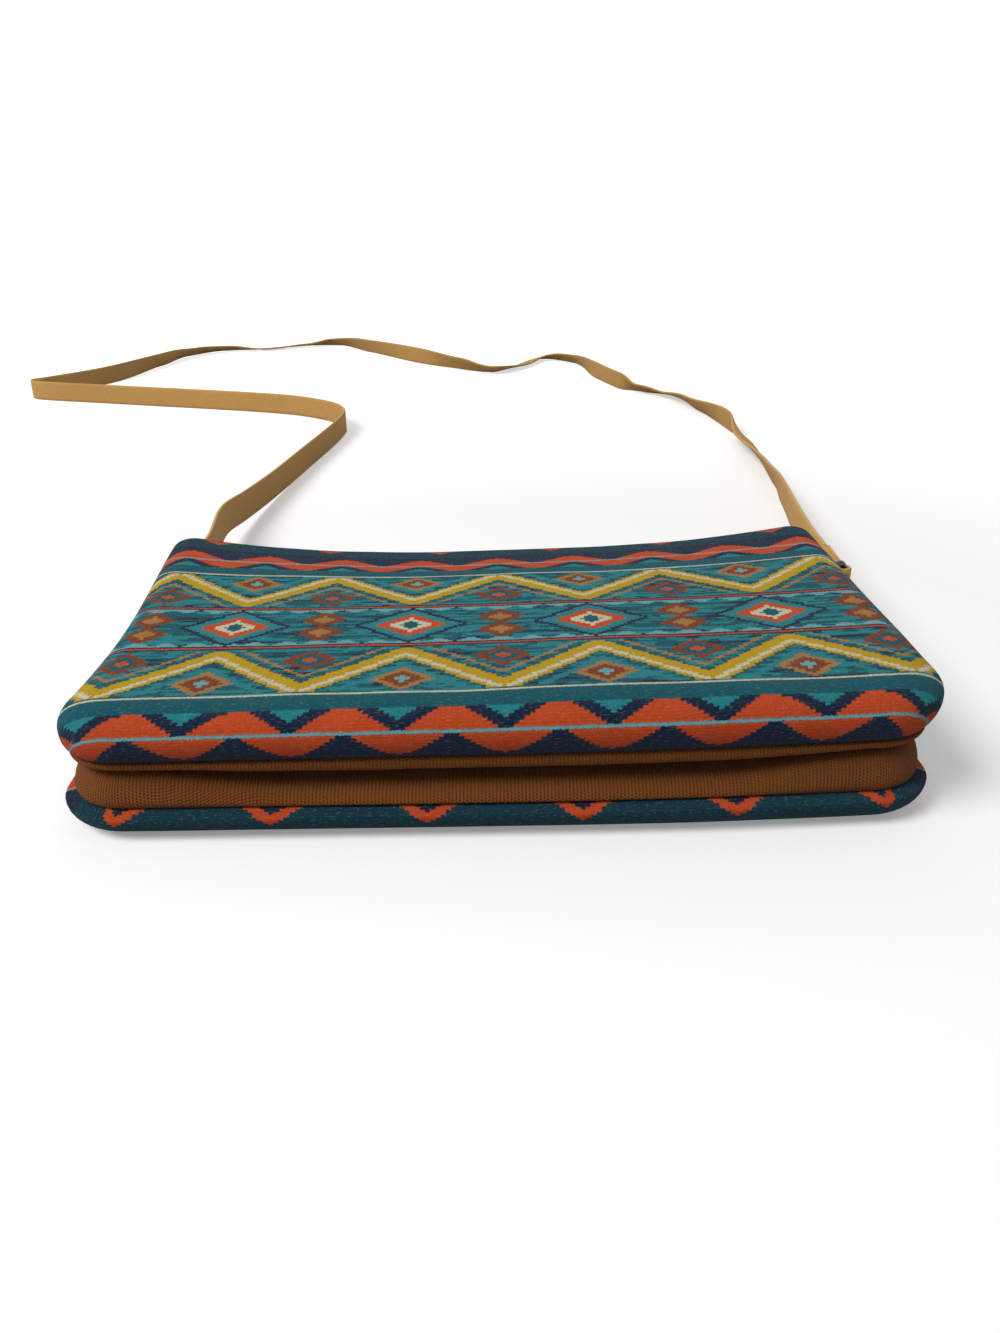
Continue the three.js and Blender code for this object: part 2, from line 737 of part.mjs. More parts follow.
function add(name, geometry, slot, color, roughness = 0.9, metalness = 0) {
  const mesh = new THREE.Mesh(geometry, material(slot, color, roughness, metalness));
  mesh.name = name;
  bag.add(mesh);
}

const CANVAS_BROWN = 0x8a5a32;
const BLACK_METAL = 0x17171a;

add("front_panel", shell(panelProfile(), true), "patterned_wool", 0x2f6b78);
add("back_panel", shell(panelProfile(), false), "patterned_wool", 0x2f6b78);
add("front_lining", shell(liningProfile(), true), "lining_cotton", 0x5b4636);
add("back_lining", shell(liningProfile(), false), "lining_cotton", 0x5b4636);
add("gusset", gusset(), "brown_canvas", CANVAS_BROWN);
add("zip_tab_left", zipTab(-1), "brown_canvas", CANVAS_BROWN);
add("zip_tab_right", zipTab(1), "brown_canvas", CANVAS_BROWN);
add("zip_tape_front", zipTape(true), "zip_tape", 0x4a3626);
add("zip_tape_back", zipTape(false), "zip_tape", 0x4a3626);
add("zip_teeth_front", zipTeeth(1), "zip_teeth", 0x3b2b20, 0.5);
add("zip_teeth_back", zipTeeth(-1), "zip_teeth", 0x3b2b20, 0.5);
add("zip_bottom_stop", zipStop("bottom"), "black_metal", BLACK_METAL, 0.4, 0.8);
add("zip_top_stop_front", zipStop("front"), "black_metal", BLACK_METAL, 0.4, 0.8);
add("zip_top_stop_back", zipStop("back"), "black_metal", BLACK_METAL, 0.4, 0.8);
add("zip_slider", zipSlider(), "black_metal", BLACK_METAL, 0.4, 0.8);
add("zip_pull", zipPull(), "black_metal", BLACK_METAL, 0.4, 0.8);
add("ring_tab_left", ringTab(-1), "brown_canvas", CANVAS_BROWN);
add("ring_tab_right", ringTab(1), "brown_canvas", CANVAS_BROWN);
add("strap_ring_left", strapRing(-1), "black_metal", BLACK_METAL, 0.4, 0.8);
add("strap_ring_right", strapRing(1), "black_metal", BLACK_METAL, 0.4, 0.8);
add("strap_end_left", strapEnd(-1), "tan_webbing", 0xa8794a);
add("strap_end_right", strapEnd(1), "tan_webbing", 0xa8794a);
add("strap", strap(), "tan_webbing", 0xa8794a);

export default bag;
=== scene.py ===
# Looks of a flat crossbody bag: patterned wool panels, a folded canvas gusset, a coil zip and a
# webbing strap. Shapes are worked out in millimetres, in the part's own frame, and made in metres.
import math

import bmesh
import bpy
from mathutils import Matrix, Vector, noise


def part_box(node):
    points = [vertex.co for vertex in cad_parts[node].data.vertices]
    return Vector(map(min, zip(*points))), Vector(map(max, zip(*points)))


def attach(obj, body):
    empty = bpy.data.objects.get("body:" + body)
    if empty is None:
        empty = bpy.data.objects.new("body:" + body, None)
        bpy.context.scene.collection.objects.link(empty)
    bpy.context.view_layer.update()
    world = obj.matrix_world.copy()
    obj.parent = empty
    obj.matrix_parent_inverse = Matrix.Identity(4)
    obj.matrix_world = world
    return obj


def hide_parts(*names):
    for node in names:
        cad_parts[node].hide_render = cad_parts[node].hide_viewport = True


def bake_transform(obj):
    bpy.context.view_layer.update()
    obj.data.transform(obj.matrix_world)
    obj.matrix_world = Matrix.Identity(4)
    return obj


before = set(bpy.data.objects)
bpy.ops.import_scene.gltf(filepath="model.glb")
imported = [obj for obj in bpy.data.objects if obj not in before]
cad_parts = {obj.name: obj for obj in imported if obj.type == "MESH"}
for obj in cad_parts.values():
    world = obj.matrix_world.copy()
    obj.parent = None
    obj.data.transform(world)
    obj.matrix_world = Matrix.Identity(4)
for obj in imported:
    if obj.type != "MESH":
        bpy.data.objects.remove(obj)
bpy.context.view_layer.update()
MM = 0.001
SIDES = ((-1, "left"), (1, "right"))
UP = Vector((0, 0, 1))
QUARTER = math.pi / 2

# The bag as a whole, with the sizes of the part's source
panel_low, panel_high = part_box("back_panel")
HALF_W = (panel_high[0] - panel_low[0]) / 2 / MM
HALF_H = (panel_high[1] - panel_low[1]) / 2 / MM
THICK = 34.0
MID = THICK / 2
BOTTOM_CORNER = 17.0
TOP_CORNER = 9.0
LEAST_CORNER = 1.5
LEAN = 0.065
MOUTH_SAG = 5.0
GAP = 0.3

# How the soft bag has slumped, beyond the part's source
LEFT_RISE = 4.5
RIGHT_RISE = 2.7
MIDDLE_SINK = 1.0
SIDE_DRAW = 4.0
DRAW_SCALE = 27 / 4
NEAR_TURN = 4.0
SLUMP_FADE = 9.0
DROOP_FROM = -5.0
DROOP_FADE = 40.0

# Wool panels: the rolled edge, and how far its seam hangs under it at the bottom of the bag
WOOL = 2.4
ROLL_DEPTH = 9.0
ROLL_HEIGHT = 6.5
ROLL_UNDER = 4.2
ROLL_TURN = 45
ROLL_SINE = math.sin(math.radians(ROLL_TURN))
ROLL_STEP = 6
INSIDE_STEP = 15
FRONT_UNDER = 8.6
BACK_UNDER = 1.2
NOSE_Z = THICK - ROLL_HEIGHT
SEAM_Z = NOSE_Z - ROLL_UNDER * ROLL_SINE
RIM_INSET = ROLL_DEPTH * (1 - math.cos(math.radians(ROLL_TURN)))

# Rows of a panel's section: insets of its face and its inside, and the thickness at its rim
FACE_ROWS = (61, 56, 51, 46, 41, 36, 31, 27, 23, 20, 17, 14.5, 12.5, 10.8)
INSIDE_ROWS = (17, 28, 46, 61)
RIM_ROWS = ((0.5, -0.25), (1.2, -0.3), (1.9, -0.1))
RIM_STEP = 0.7

# Ripples of the padded wool. Each row: length across, length along, shift of the seed, height.
RIPPLES = ((46, 40, 0, 0.55), (19, 17, 7, 0.22))
FACE_SEED = 3.0
EDGE_SEED = 23.0
EDGE_RIPPLE = 0.9
EDGE_START = 1.0
EDGE_FADE = 7.0

# The woven pattern: size of a stitch, its fraying, where its middle lies and how close its bands are
PICK_WIDE = 1.2
PICK_TALL = 0.8
FRAY = 1.9
FRONT_CUT = -13.5
BACK_CUT = 0.7
BAND_PACK = 1.2

# Canvas gusset: the seam's tuck, the fold, the heights of its upper lip and lower crest, and its waves
CANVAS = 0.9
TUCK = 3.0
TUCK_INSET = RIM_INSET + WOOL + GAP
FOLD_DEPTH = 24.0
FOLD_CORNER_DEPTH = 11.0
FOLD_UP = FOLD_DEPTH * 1.4
FOLD_DOWN = FOLD_DEPTH * 1.2
FOLD_ALONG = FOLD_DEPTH * 1.6
LIP_CORNER = 18.6
LIP_SIDE = 17.2
CREST_CORNER = 16.6
CREST_SIDE = 12.0
WAVE_LENGTH = 34.0
CREASE_LENGTH = 13.0
SEAM_Y = HALF_H - 19
SIDE_STEPS = 36
CORNER_STEPS = 14
BOTTOM_STEPS = 70

# Zip, with its end tabs and stitches
TAPE = 0.7
TAPE_INSET = TUCK_INSET + CANVAS + GAP
TAPE_SEWN = 1.8
TAPE_UNDER_TAB = 9.0
TAPE_STEPS = 60
TAB_REACH = 22.0
TAB_BULGE = 0.7
TAB_HEIGHT = 20.0
TAB_FLAT = 6.0
STOP_LENGTH = 2.0
ZIP_HEIGHT = 14.4
ZIP_HALF = HALF_W - TAB_REACH - STOP_LENGTH - 2 * GAP
ZIP_Y = HALF_H - TAPE_INSET - TAPE / 2
ROW_TIP = 0.65
ROW_BACK = 2.35
COIL_PITCH = 1.0
COIL_END = 1.2
STITCH_REACH = 78.0
STITCH_RISE = 0.12
STITCH_UNDER = {True: 1.3, False: 0.9}

# Lining
LINING = 0.6
LINING_SLACK = 0.9
LINING_INSET = TAPE_INSET + TAPE + GAP

# Strap rings and their tabs
RING_WIRE = 1.1
RING_REACH = 9.2
RING_CORNER = 2.2
RING_SIDES = 16
RING_PLAY = 0.4
RING_TAB_WIDTH = 7.5
RING_TAB_SEWN = 1.0
RING_OFF = 0.6
PIVOT_X = HALF_W + RING_WIRE + RING_OFF
RING_ANGLE = {1: 32, -1: 95}

# Webbing and other tapes: the breaking of their corners
RIBBON_CORNER = 0.35
CORNER_SHARE = 0.6
RIBBON_STEPS = 8

# Strap, with its folded ends and the box of stitches on them
STRAP_WIDTH = 12.7
STRAP_THICK = 1.4
STRAP_STEPS = 16
STRAP_ABOVE = 0.1
STRAP_LEAST = 0.05
STRAP_EXIT = {1: 87, -1: 80}
LOOP_LEG = 22.0
LOOP_PLAY = 0.15
LOOP_STEPS = 12
LOOP_START = 0.55
LOOP_BLEND = 1.9
LEG_APART = 0.04
BOX_CORNERS = ((8, -4.6), (20, -4.6), (20, 4.6), (8, 4.6))
BOX_LINES = ((0, 1), (1, 2), (2, 3), (3, 0), (0, 2), (1, 3))

# The strap's route: across, away, degrees it leans over, lift above the table
STRAP_ROUTE = [
    (-104, 98, 0, 9), (-110, 146, 0, 6), (-108, 178, 0, 3), (-104, 215, 0, 1), (-98, 266, 0, 0),
    (-87, 350, 0, 0), (-87, 372, 0, 0), (-94, 391, 0, 0), (-108, 406, 0, 0), (-131, 421, 0, 0),
    (-260, 460, 0, 0), (-306, 473, 0, 0), (-319, 479, 0, 0), (-322, 485, 0, 0), (-317, 491, 0, 0),
    (-286, 541, 0, 0), (-267, 620, 28, 0), (-256, 672, 55, 0), (-232, 702, 68, 0), (-198, 710, 84, 0),
    (-166, 730, 78, 0), (-138, 734, 58, 0), (-104, 694, 25, 0), (-58, 637, 5, 0), (-18, 594, 36, 0),
    (8, 578, 64, 0), (31, 606, 78, 0), (53, 645, 72, 0), (73, 628, 54, 0), (88, 556, 6, 0),
    (100, 509, 10, 0), (114, 490, 60, 0), (131, 476, 74, 0), (140, 424, 45, 0), (150, 366, 10, 0),
    (150, 326, 60, 0), (142, 236, 24, 1), (135, 192, 8, 4), (120, 110, 0, 10),
]

# Camera fitted to the photograph
SENSOR = 36.0
FOCAL_PIXELS = 1010
PHOTO_HEIGHT = 1333
CAMERA_PLACE = (-0.00506, -0.2597, 0.1375)
CAMERA_TILT = 25.49
CAMERA_TURN = -1.274

# Light of the table, by the distance from the bag's middle in metres, and of the studio
GLOW_FROM = 0.2
GLOW_RISE = 0.9
GLOW_MOST = 0.8
TABLE_GLOW = 0.24
WORLD_BOUNCE = 0.3
LIT_PLACE = Vector((0, 0.1, 0))


def maths(operation, backwards=False):
    """A method that puts a value, and what it is joined with, through one maths node."""
    def method(self, *others):
        made = self.tree.nodes.new("ShaderNodeMath")
        made.operation = operation
        terms = (*others, self) if backwards else (self, *others)
        for slot, term in zip(made.inputs, terms):
            connect(self.tree, slot, term)
        return Value(self.tree, made.outputs[0])
    return method


class Value:
    """A socket of a node tree that takes part in Python arithmetic."""

    def __init__(self, tree, socket):
        self.tree = tree
        self.socket = socket

    __add__ = maths("ADD")
    __radd__ = maths("ADD", backwards=True)
    __sub__ = maths("SUBTRACT")
    __rsub__ = maths("SUBTRACT", backwards=True)
    __mul__ = maths("MULTIPLY")
    __truediv__ = maths("DIVIDE")
    __gt__ = maths("GREATER_THAN")
    __lt__ = maths("LESS_THAN")
    __abs__ = maths("ABSOLUTE")
    floor = maths("FLOOR")
    fraction = maths("FRACT")
    sine = maths("SINE")
    least = maths("MINIMUM")
    most = maths("MAXIMUM")

    def ridges(self, pitch):
        """Waves from -1 to 1, one in each pitch."""
        return (self * (2 * math.pi / pitch)).sine()


def connect(tree, slot, term):
    if isinstance(term, Value):
        tree.links.new(term.socket, slot)
    else:
        slot.default_value = term


def add_node(tree, kind, settings=None, output=0, **sockets):
    """Adds any node: its settings first, then the values or links of its sockets."""
    made = tree.nodes.new(kind)
    for key, setting in (settings or {}).items():
        setattr(made, key, setting)
    for key, term in sockets.items():
        connect(tree, next(s for s in made.inputs if s.enabled and s.name == key), term)
    if isinstance(output, str):
        return Value(tree, next(s for s in made.outputs if s.enabled and s.name == output))
    return Value(tree, made.outputs[output])


class Finish:
    """A material under construction: its tree, its shader and the places that it is painted by."""

    def __init__(self, name, **constants):
        self.material = bpy.data.materials.new(name)
        self.material.use_nodes = True
        self.tree = self.material.node_tree
        self.shader = self.tree.nodes["Principled BSDF"]
        for key, value in constants.items():
            self.shader.inputs[key.replace("_", " ")].default_value = value

    def cloth(self):
        """The place on the flat cloth in millimetres, and its two coordinates."""
        place = add_node(self.tree, "ShaderNodeAttribute", {"attribute_name": "cloth"}, "Vector")
        first = add_node(self.tree, "ShaderNodeSeparateXYZ", None, "X", Vector=place)
        second = add_node(self.tree, "ShaderNodeSeparateXYZ", None, "Y", Vector=place)
        return place, first, second

    def object_place(self):
        return add_node(self.tree, "ShaderNodeTexCoord", None, "Object")

    def flat_place(self, x, y):
        return add_node(self.tree, "ShaderNodeCombineXYZ", X=x, Y=y)

    def noise(self, place, scale, detail=3.0, roughness=0.55):
        return add_node(
            self.tree, "ShaderNodeTexNoise", Vector=place, Scale=scale, Detail=detail, Roughness=roughness
        )

    def mix(self, mask, below, above):
        return add_node(
            self.tree, "ShaderNodeMix", {"data_type": "RGBA"}, "Result", Factor=mask, A=below, B=above
        )

    def shade(self, colour, strength):
        """Multiplies a colour by a varying strength."""
        grey = add_node(
            self.tree, "ShaderNodeCombineColor", Red=strength, Green=strength, Blue=strength
        )
        return add_node(
            self.tree, "ShaderNodeMix", {"data_type": "RGBA", "blend_type": "MULTIPLY"}, "Result",
            Factor=1.0, A=colour, B=grey,
        )

    def finish(self, colour, rough, height, depth, strength):
        """Sets the colour, the roughness and a bump of a depth in metres."""
        bump = add_node(
            self.tree, "ShaderNodeBump", Height=height, Distance=depth, Strength=strength
        )
        for key, term in (("Base Color", colour), ("Roughness", rough), ("Normal", bump)):
            connect(self.tree, self.shader.inputs[key], term)
        return self.material


def rgb(*levels):
    """A colour given as it looks on a screen, from 0 to 255."""
    linear = []
    for level in levels:
        share = level / 255
        linear.append(share / 12.92 if level <= 10 else ((share + 0.055) / 1.055) ** 2.4)
    return (*linear, 1.0)


TEAL = rgb(0, 92, 104)
TURQUOISE = rgb(30, 140, 148)
NAVY = rgb(10, 34, 62)
ORANGE = rgb(216, 82, 34)
CREAM = rgb(226, 220, 190)
MUSTARD = rgb(212, 170, 14)
TAN = rgb(180, 130, 72)
RUST = rgb(138, 64, 24)
PALE = rgb(120, 180, 186)
DEEP = rgb(0, 58, 74)


class Weave:
    """Woven figures, from how far along the cloth and how far from its middle line a place is."""

    def __init__(self, across, out):
        self.across = across
        self.out = out

    def band(self, low, high):
        return (self.out > low) * (self.out < high)

    def wave(self, period, shift=0.0):
        return abs(((self.across + shift) / period).fraction() - 0.5) * period

    def diamonds(self, period, middle, shift, *steps):
        """A row of nested diamonds. Each step is a size and a colour."""
        reach = self.wave(period, shift) + abs(self.out - middle)
        return [(reach < size, paint) for size, paint in steps]

    def lines(self, place, *steps):
        """Lines along a zigzag. Each step is an offset, half a width and a colour."""
        field = self.band(18.5, 48.6)
        return [(field * (abs(place - offset) < half), paint) for offset, half, paint in steps]


def woven_layers(weave, streak):
    """The pattern's layers from below, each with its colour. Sizes are distances from the middle line."""
    figure, tooth, border, edge = 48, 8, 24, 36
    out = weave.out
    band = weave.band
    wave = weave.wave
    core = out < 14
    between = weave.diamonds(figure, 5.5, figure / 2, (6.6, RUST), (3.2, TAN))
    zigzag = out - 21.5 - wave(figure) * 1.08
    return [
        (out < 57, TEAL),
        (streak < 0.48, TURQUOISE),
        (streak > 0.61, NAVY),
        (band(11.4, 14.5) * (14.5 - out < wave(tooth) * 0.75), PALE),
        *weave.diamonds(
            figure, 0, 0,
            (15.5, NAVY), (13.4, TURQUOISE), (9.4, ORANGE), (5.8, CREAM), (3.2, TEAL),
        ),
        *[(core * mask, paint) for mask, paint in between],
        (band(14.5, 17.4), NAVY),
        (band(15.5, 16.6), ORANGE),
        (band(17.4, 20) * (out - 17.4 < wave(tooth, tooth / 2) * 0.65), TURQUOISE),
        *weave.lines(
            zigzag,
            (10, 1.5, TURQUOISE), (-9.2, 0.8, TAN), (0, 6.0, TEAL), (0, 4.6, MUSTARD), (1.6, 1.0, CREAM),
        ),
        *weave.diamonds(figure, 41, 0, (7.8, TAN), (5.4, RUST), (2.4, PALE)),
        *weave.diamonds(figure, 26.5, figure / 2, (7.4, RUST), (4.8, TEAL), (2.2, ORANGE)),
        (band(49, 50.8), CREAM),
        (band(50.8, 57), TEAL),
        (band(57, 76), ORANGE),
        (band(57, 63.6) * (out - 57 < wave(border) * 0.75 - 1.2), NAVY),
        (band(57, 63.6) * (out - 57 < wave(border) * 0.75 - 5.4), TURQUOISE),
        (band(63.6, 65.2), PALE),
        (band(65.2, 76) * (72.8 - out < wave(border, border / 2) * 0.7), NAVY),
        (band(76, 110), DEEP),
        *weave.diamonds(edge, 88, 0, (7.2, ORANGE), (3.2, NAVY)),
    ]


def patterned_wool():
    """Felted wool woven in bands of stepped diamonds, zigzags and plain stripes."""
    made = Finish("patterned_wool_cloth", Sheen_Weight=0.04, Sheen_Roughness=0.5, Specular_IOR_Level=0.2)
    place, u, v = made.cloth()
    fibre = made.noise(place, 2.4, 4.0, 0.7)
    fray = (fibre - 0.5) * FRAY
    across = ((u + fray) / PICK_WIDE).floor() * PICK_WIDE
    along = ((v + fray) / PICK_TALL).floor() * PICK_TALL
    streak = made.noise(made.flat_place(across * 0.05, along * 0.55), 1.0, 2.0)
    colour = NAVY
    for mask, paint in woven_layers(Weave(across, abs(along) * BAND_PACK), streak):
        colour = made.mix(mask, colour, paint)
    fleck = made.noise(place, 0.55, 2.0)
    cover = made.noise(place, 0.035, 2.0)
    weft = v.ridges(PICK_TALL)
    warp = u.ridges(PICK_WIDE)
    tone = 0.42 + fibre * 0.75 + fleck * 0.3 + cover * 0.14 + weft * 0.03
    hairs = made.noise(made.flat_place(u * 0.7, v * 3.2), 1.0, 2.0) > 0.62
    coat = made.mix(hairs * 0.12, made.shade(colour, tone), CREAM)
    height = fibre * 1.3 + weft * 0.1 + warp * 0.06 + fleck * 0.5
    return made.finish(coat, 0.9 + fibre * 0.1, height, 0.0007, 0.8)


def brown_canvas():
    """Ribbed cotton canvas: cords across the strip, crossed by a fine warp."""
    made = Finish("brown_canvas_cloth", Sheen_Weight=0.03, Specular_IOR_Level=0.2)
    place, along, across = made.cloth()
    cord, thread = 0.85, 0.8
    slub = made.noise(place, 0.5)
    rib = (along + slub * 0.12).ridges(cord)
    yarn = (across + (along / cord).floor() * (thread / 2)).ridges(thread)
    patch = made.noise(place, 0.03, 2.0)
    tone = 0.66 + rib * 0.07 + yarn * 0.1 + slub * 0.4 + patch * 0.16
    colour = made.shade(rgb(132, 76, 29), tone)
    height = rib * 0.45 + yarn * 0.36 + slub * 0.3
    return made.finish(colour, 0.82 + slub * 0.12, height, 0.00028, 0.9)


def tan_webbing():
    """Grosgrain webbing: fine ribs across its width and a firm edge along both sides."""
    made = Finish("tan_webbing_tape", Sheen_Weight=0.04, Specular_IOR_Level=0.3)
    place, along, across = made.cloth()
    slub = made.noise(place, 0.6)
    rib = (along + slub * 0.1).ridges(1.15)
    warp = across.ridges(0.62)
    edge = abs(across) > STRAP_WIDTH / 2 - 0.8
    patch = made.noise(place, 0.02, 2.0)
    tone = 0.72 + rib * 0.1 + warp * 0.05 + slub * 0.25 + patch * 0.2 - edge * 0.1
    colour = made.shade(rgb(232, 178, 102), tone)
    height = rib * (1 - edge * 0.6) * 0.55 + warp * 0.18 + slub * 0.2
    return made.finish(colour, 0.62 + slub * 0.2, height, 0.00025, 0.9)


def black_lacquer():
    """Black lacquered metal, a little worn."""
    made = Finish("black_lacquer_metal", Metallic=0.35, Coat_Weight=0.35, Coat_Roughness=0.2)
    place = made.object_place()
    cloud = made.noise(place, 900.0, 4.0)
    rub = made.noise(place, 160.0)
    colour = made.mix((rub > 0.63) * 0.35, (0.012, 0.012, 0.014, 1), (0.07, 0.062, 0.055, 1))
    return made.finish(colour, 0.28 + cloud * 0.25, cloud, 0.00003, 0.5)


def zip_tape_cloth():
    """Herringbone tape of the zip."""
    made = Finish("zip_tape_cloth", Sheen_Weight=0.1)
    place, along, across = made.cloth()
    slub = made.noise(place, 1.2)
    slant = abs((across / 2.0).fraction() - 0.5)
    rib = (along + slant * 1.6).ridges(0.7)
    colour = made.shade(rgb(112, 74, 42), 0.7 + rib * 0.14 + slub * 0.35)
    return made.finish(colour, 0.8 + slub * 0.15, rib * 0.6 + slub * 0.3, 0.0002, 0.8)


def zip_nylon():
    """Brown nylon of the zip's coil."""
    made = Finish("zip_nylon_coil", Coat_Weight=0.1)
    cloud = made.noise(made.object_place(), 1400.0)
    colour = made.mix(cloud, rgb(70, 46, 28), rgb(104, 70, 42))
    return made.finish(colour, 0.35 + cloud * 0.2, cloud, 0.00003, 0.4)


def lining_cotton():
    """Plain woven cotton."""
    made = Finish("lining_cotton_cloth")
    place, along, across = made.cloth()
    thread = 0.6
    slub = made.noise(place, 0.9)
    weave = along.ridges(thread) * across.ridges(thread)
    colour = made.shade(rgb(120, 92, 66), 0.75 + weave * 0.1 + slub * 0.3)
    return made.finish(colour, 0.85 + slub * 0.1, weave * 0.5 + slub * 0.4, 0.00015, 0.7)


def sewing_thread():
    """Tan thread of two plies."""
    made = Finish("tan_sewing_thread", Sheen_Weight=0.1)
    ply = made.noise(made.object_place(), 2600.0, 2.0)
    colour = made.mix(ply, rgb(150, 104, 56), rgb(206, 160, 98))
    return made.finish(colour, 0.55 + ply * 0.2, ply, 0.00005, 0.6)


WOOL_CLOTH = patterned_wool()
CANVAS_CLOTH = brown_canvas()
WEBBING = tan_webbing()
LACQUER = black_lacquer()
TAPE_CLOTH = zip_tape_cloth()
NYLON = zip_nylon()
COTTON = lining_cotton()
THREAD = sewing_thread()


def mix(start, end, share):
    return start + (end - start) * share


def clip(value, low, high):
    return max(low, min(high, value))


def smooth(t):
    u = clip(t, 0.0, 1.0)
    return u * u * (3 - 2 * u)


def share_away(y):
    """How far from the bag's bottom edge towards its zip a place is, from 0 to 1."""
    return clip((y + HALF_H) / (2 * HALF_H), 0.0, 1.0)


def lift(x):
    return 1 + LEAN * x / HALF_W


def sag(x, y):
    """How far the front panel sinks towards the middle of the mouth."""
    across = min(1.0, abs(x) / HALF_W)
    return MOUTH_SAG * (1 - across * across) * share_away(y) ** 2


def lie(x, y, z, front):
    """Height of a place on the front half as the bag lies, or of its mirror on the back half."""
    if front:
        return z * lift(x) - sag(x, y)
    return (THICK - z) * lift(x)


def settle(x, y, z):
    """The bag's slump: far corners stand up, the left side draws in, the near right corner turns away."""
    above = smooth((z - MID) / SLUMP_FADE)
    across = clip(x / HALF_W, -1.0, 1.0)
    away = share_away(y)
    rise = (LEFT_RISE if x < 0 else RIGHT_RISE) * across ** 4 - MIDDLE_SINK
    draw = SIDE_DRAW * min(0.0, across) ** 2 * DRAW_SCALE * (1 - away) ** 2 * away
    turn = NEAR_TURN * max(0.0, across) ** 2 * (1 - away) ** 2
    return (x + draw * above, y + turn, z + rise * away * away * above)


def seam_drop(y):
    """How much of the panels' soft droop a place has: all of it near the bottom, none at the zip."""
    return 1 - smooth((y - DROOP_FROM) / DROOP_FADE)


def ripple(x, y, seed):
    """Soft unevenness of padded wool, in millimetres."""
    height = 0.0
    for wide, deep, shift, size in RIPPLES:
        height += size * noise.noise(Vector((x / wide, y / deep, seed + shift)))
    return height


def add_object(name, mesh):
    made = bpy.data.objects.new(name, mesh)
    bpy.context.collection.objects.link(made)
    return made


def tube_mesh(name, rings, closed=False):
    """Mesh from rings of points in millimetres: joined round to its start, or capped at both ends."""
    rows, count = len(rings), len(rings[0])
    faces = []
    for i in range(rows if closed else rows - 1):
        a = i * count
        b = (i + 1) % rows * count
        for j in range(count):
            k = (j + 1) % count
            faces.append((a + j, a + k, b + k, b + j))
    if not closed:
        faces.append(tuple(range(count)))
        faces.append(tuple(reversed(range((rows - 1) * count, rows * count))))
    mesh = bpy.data.meshes.new(name)
    mesh.from_pydata([tuple(c * MM for c in point) for ring in rings for point in ring], [], faces)
    work = bmesh.new()
    work.from_mesh(mesh)
    caps = [f for f in work.faces if len(f.verts) > 4]
    bmesh.ops.triangulate(work, faces=caps, ngon_method="BEAUTY")
    bmesh.ops.recalc_face_normals(work, faces=work.faces)
    work.to_mesh(mesh)
    work.free()
    return mesh


def piece_from_rings(name, rings, cloth, material, closed=False):
    """A piece from rings of points, with its places on the flat cloth kept on the points."""
    mesh = tube_mesh(name, rings, closed)
    store = mesh.attributes.new("cloth", "FLOAT_VECTOR", "POINT")
    store.data.foreach_set("vector", [c for marks in cloth for mark in marks for c in mark])
    mesh.shade_smooth()
    mesh.materials.append(material)
    return add_object(name, mesh)


def circle(steps):
    """Angles evenly round a circle."""
    return [2 * math.pi * i / steps for i in range(steps)]


def run_on(stations, x, y, steps):
    """Goes straight on from the last station to a place."""
    x0, y0, angle = stations[-1]
    for i in range(1, steps + 1):
        stations.append((mix(x0, x, i / steps), mix(y0, y, i / steps), angle))


def turn_on(stations, radius, turn, steps):
    """Goes round a corner from the last station. A station ends with the angle that looks out."""
    x0, y0, start = stations[-1]
    x = x0 - radius * math.cos(start)
    y = y0 - radius * math.sin(start)
    for i in range(1, steps + 1):
        angle = start + turn * i / steps
        stations.append((x + radius * math.cos(angle), y + radius * math.sin(angle), angle))


def round_trip(start, sides, corner_steps):
    """Stations round a closed outline. Each side: radius of the corner before it, its end, its steps."""
    stations = [start]
    for radius, x, y, steps in sides:
        turn_on(stations, radius, QUARTER, corner_steps)
        run_on(stations, x, y, steps)
    return stations[:-1]


def outline(inset, corner_steps=12, long_steps=48, short_steps=28):
    """The bag's outline moved in by an inset, always with the same number of points."""
    w = HALF_W - inset
    h = HALF_H - inset
    near = max(BOTTOM_CORNER - inset, LEAST_CORNER)
    far = max(TOP_CORNER - inset, LEAST_CORNER)
    sides = (
        (near, w, h - far, short_steps),
        (far, far - w, h, long_steps),
        (far, -w, near - h, short_steps),
        (near, w - near, -h, long_steps),
    )
    return [(x, y) for x, y, _ in round_trip((w - near, -h, -QUARTER), sides, corner_steps)]


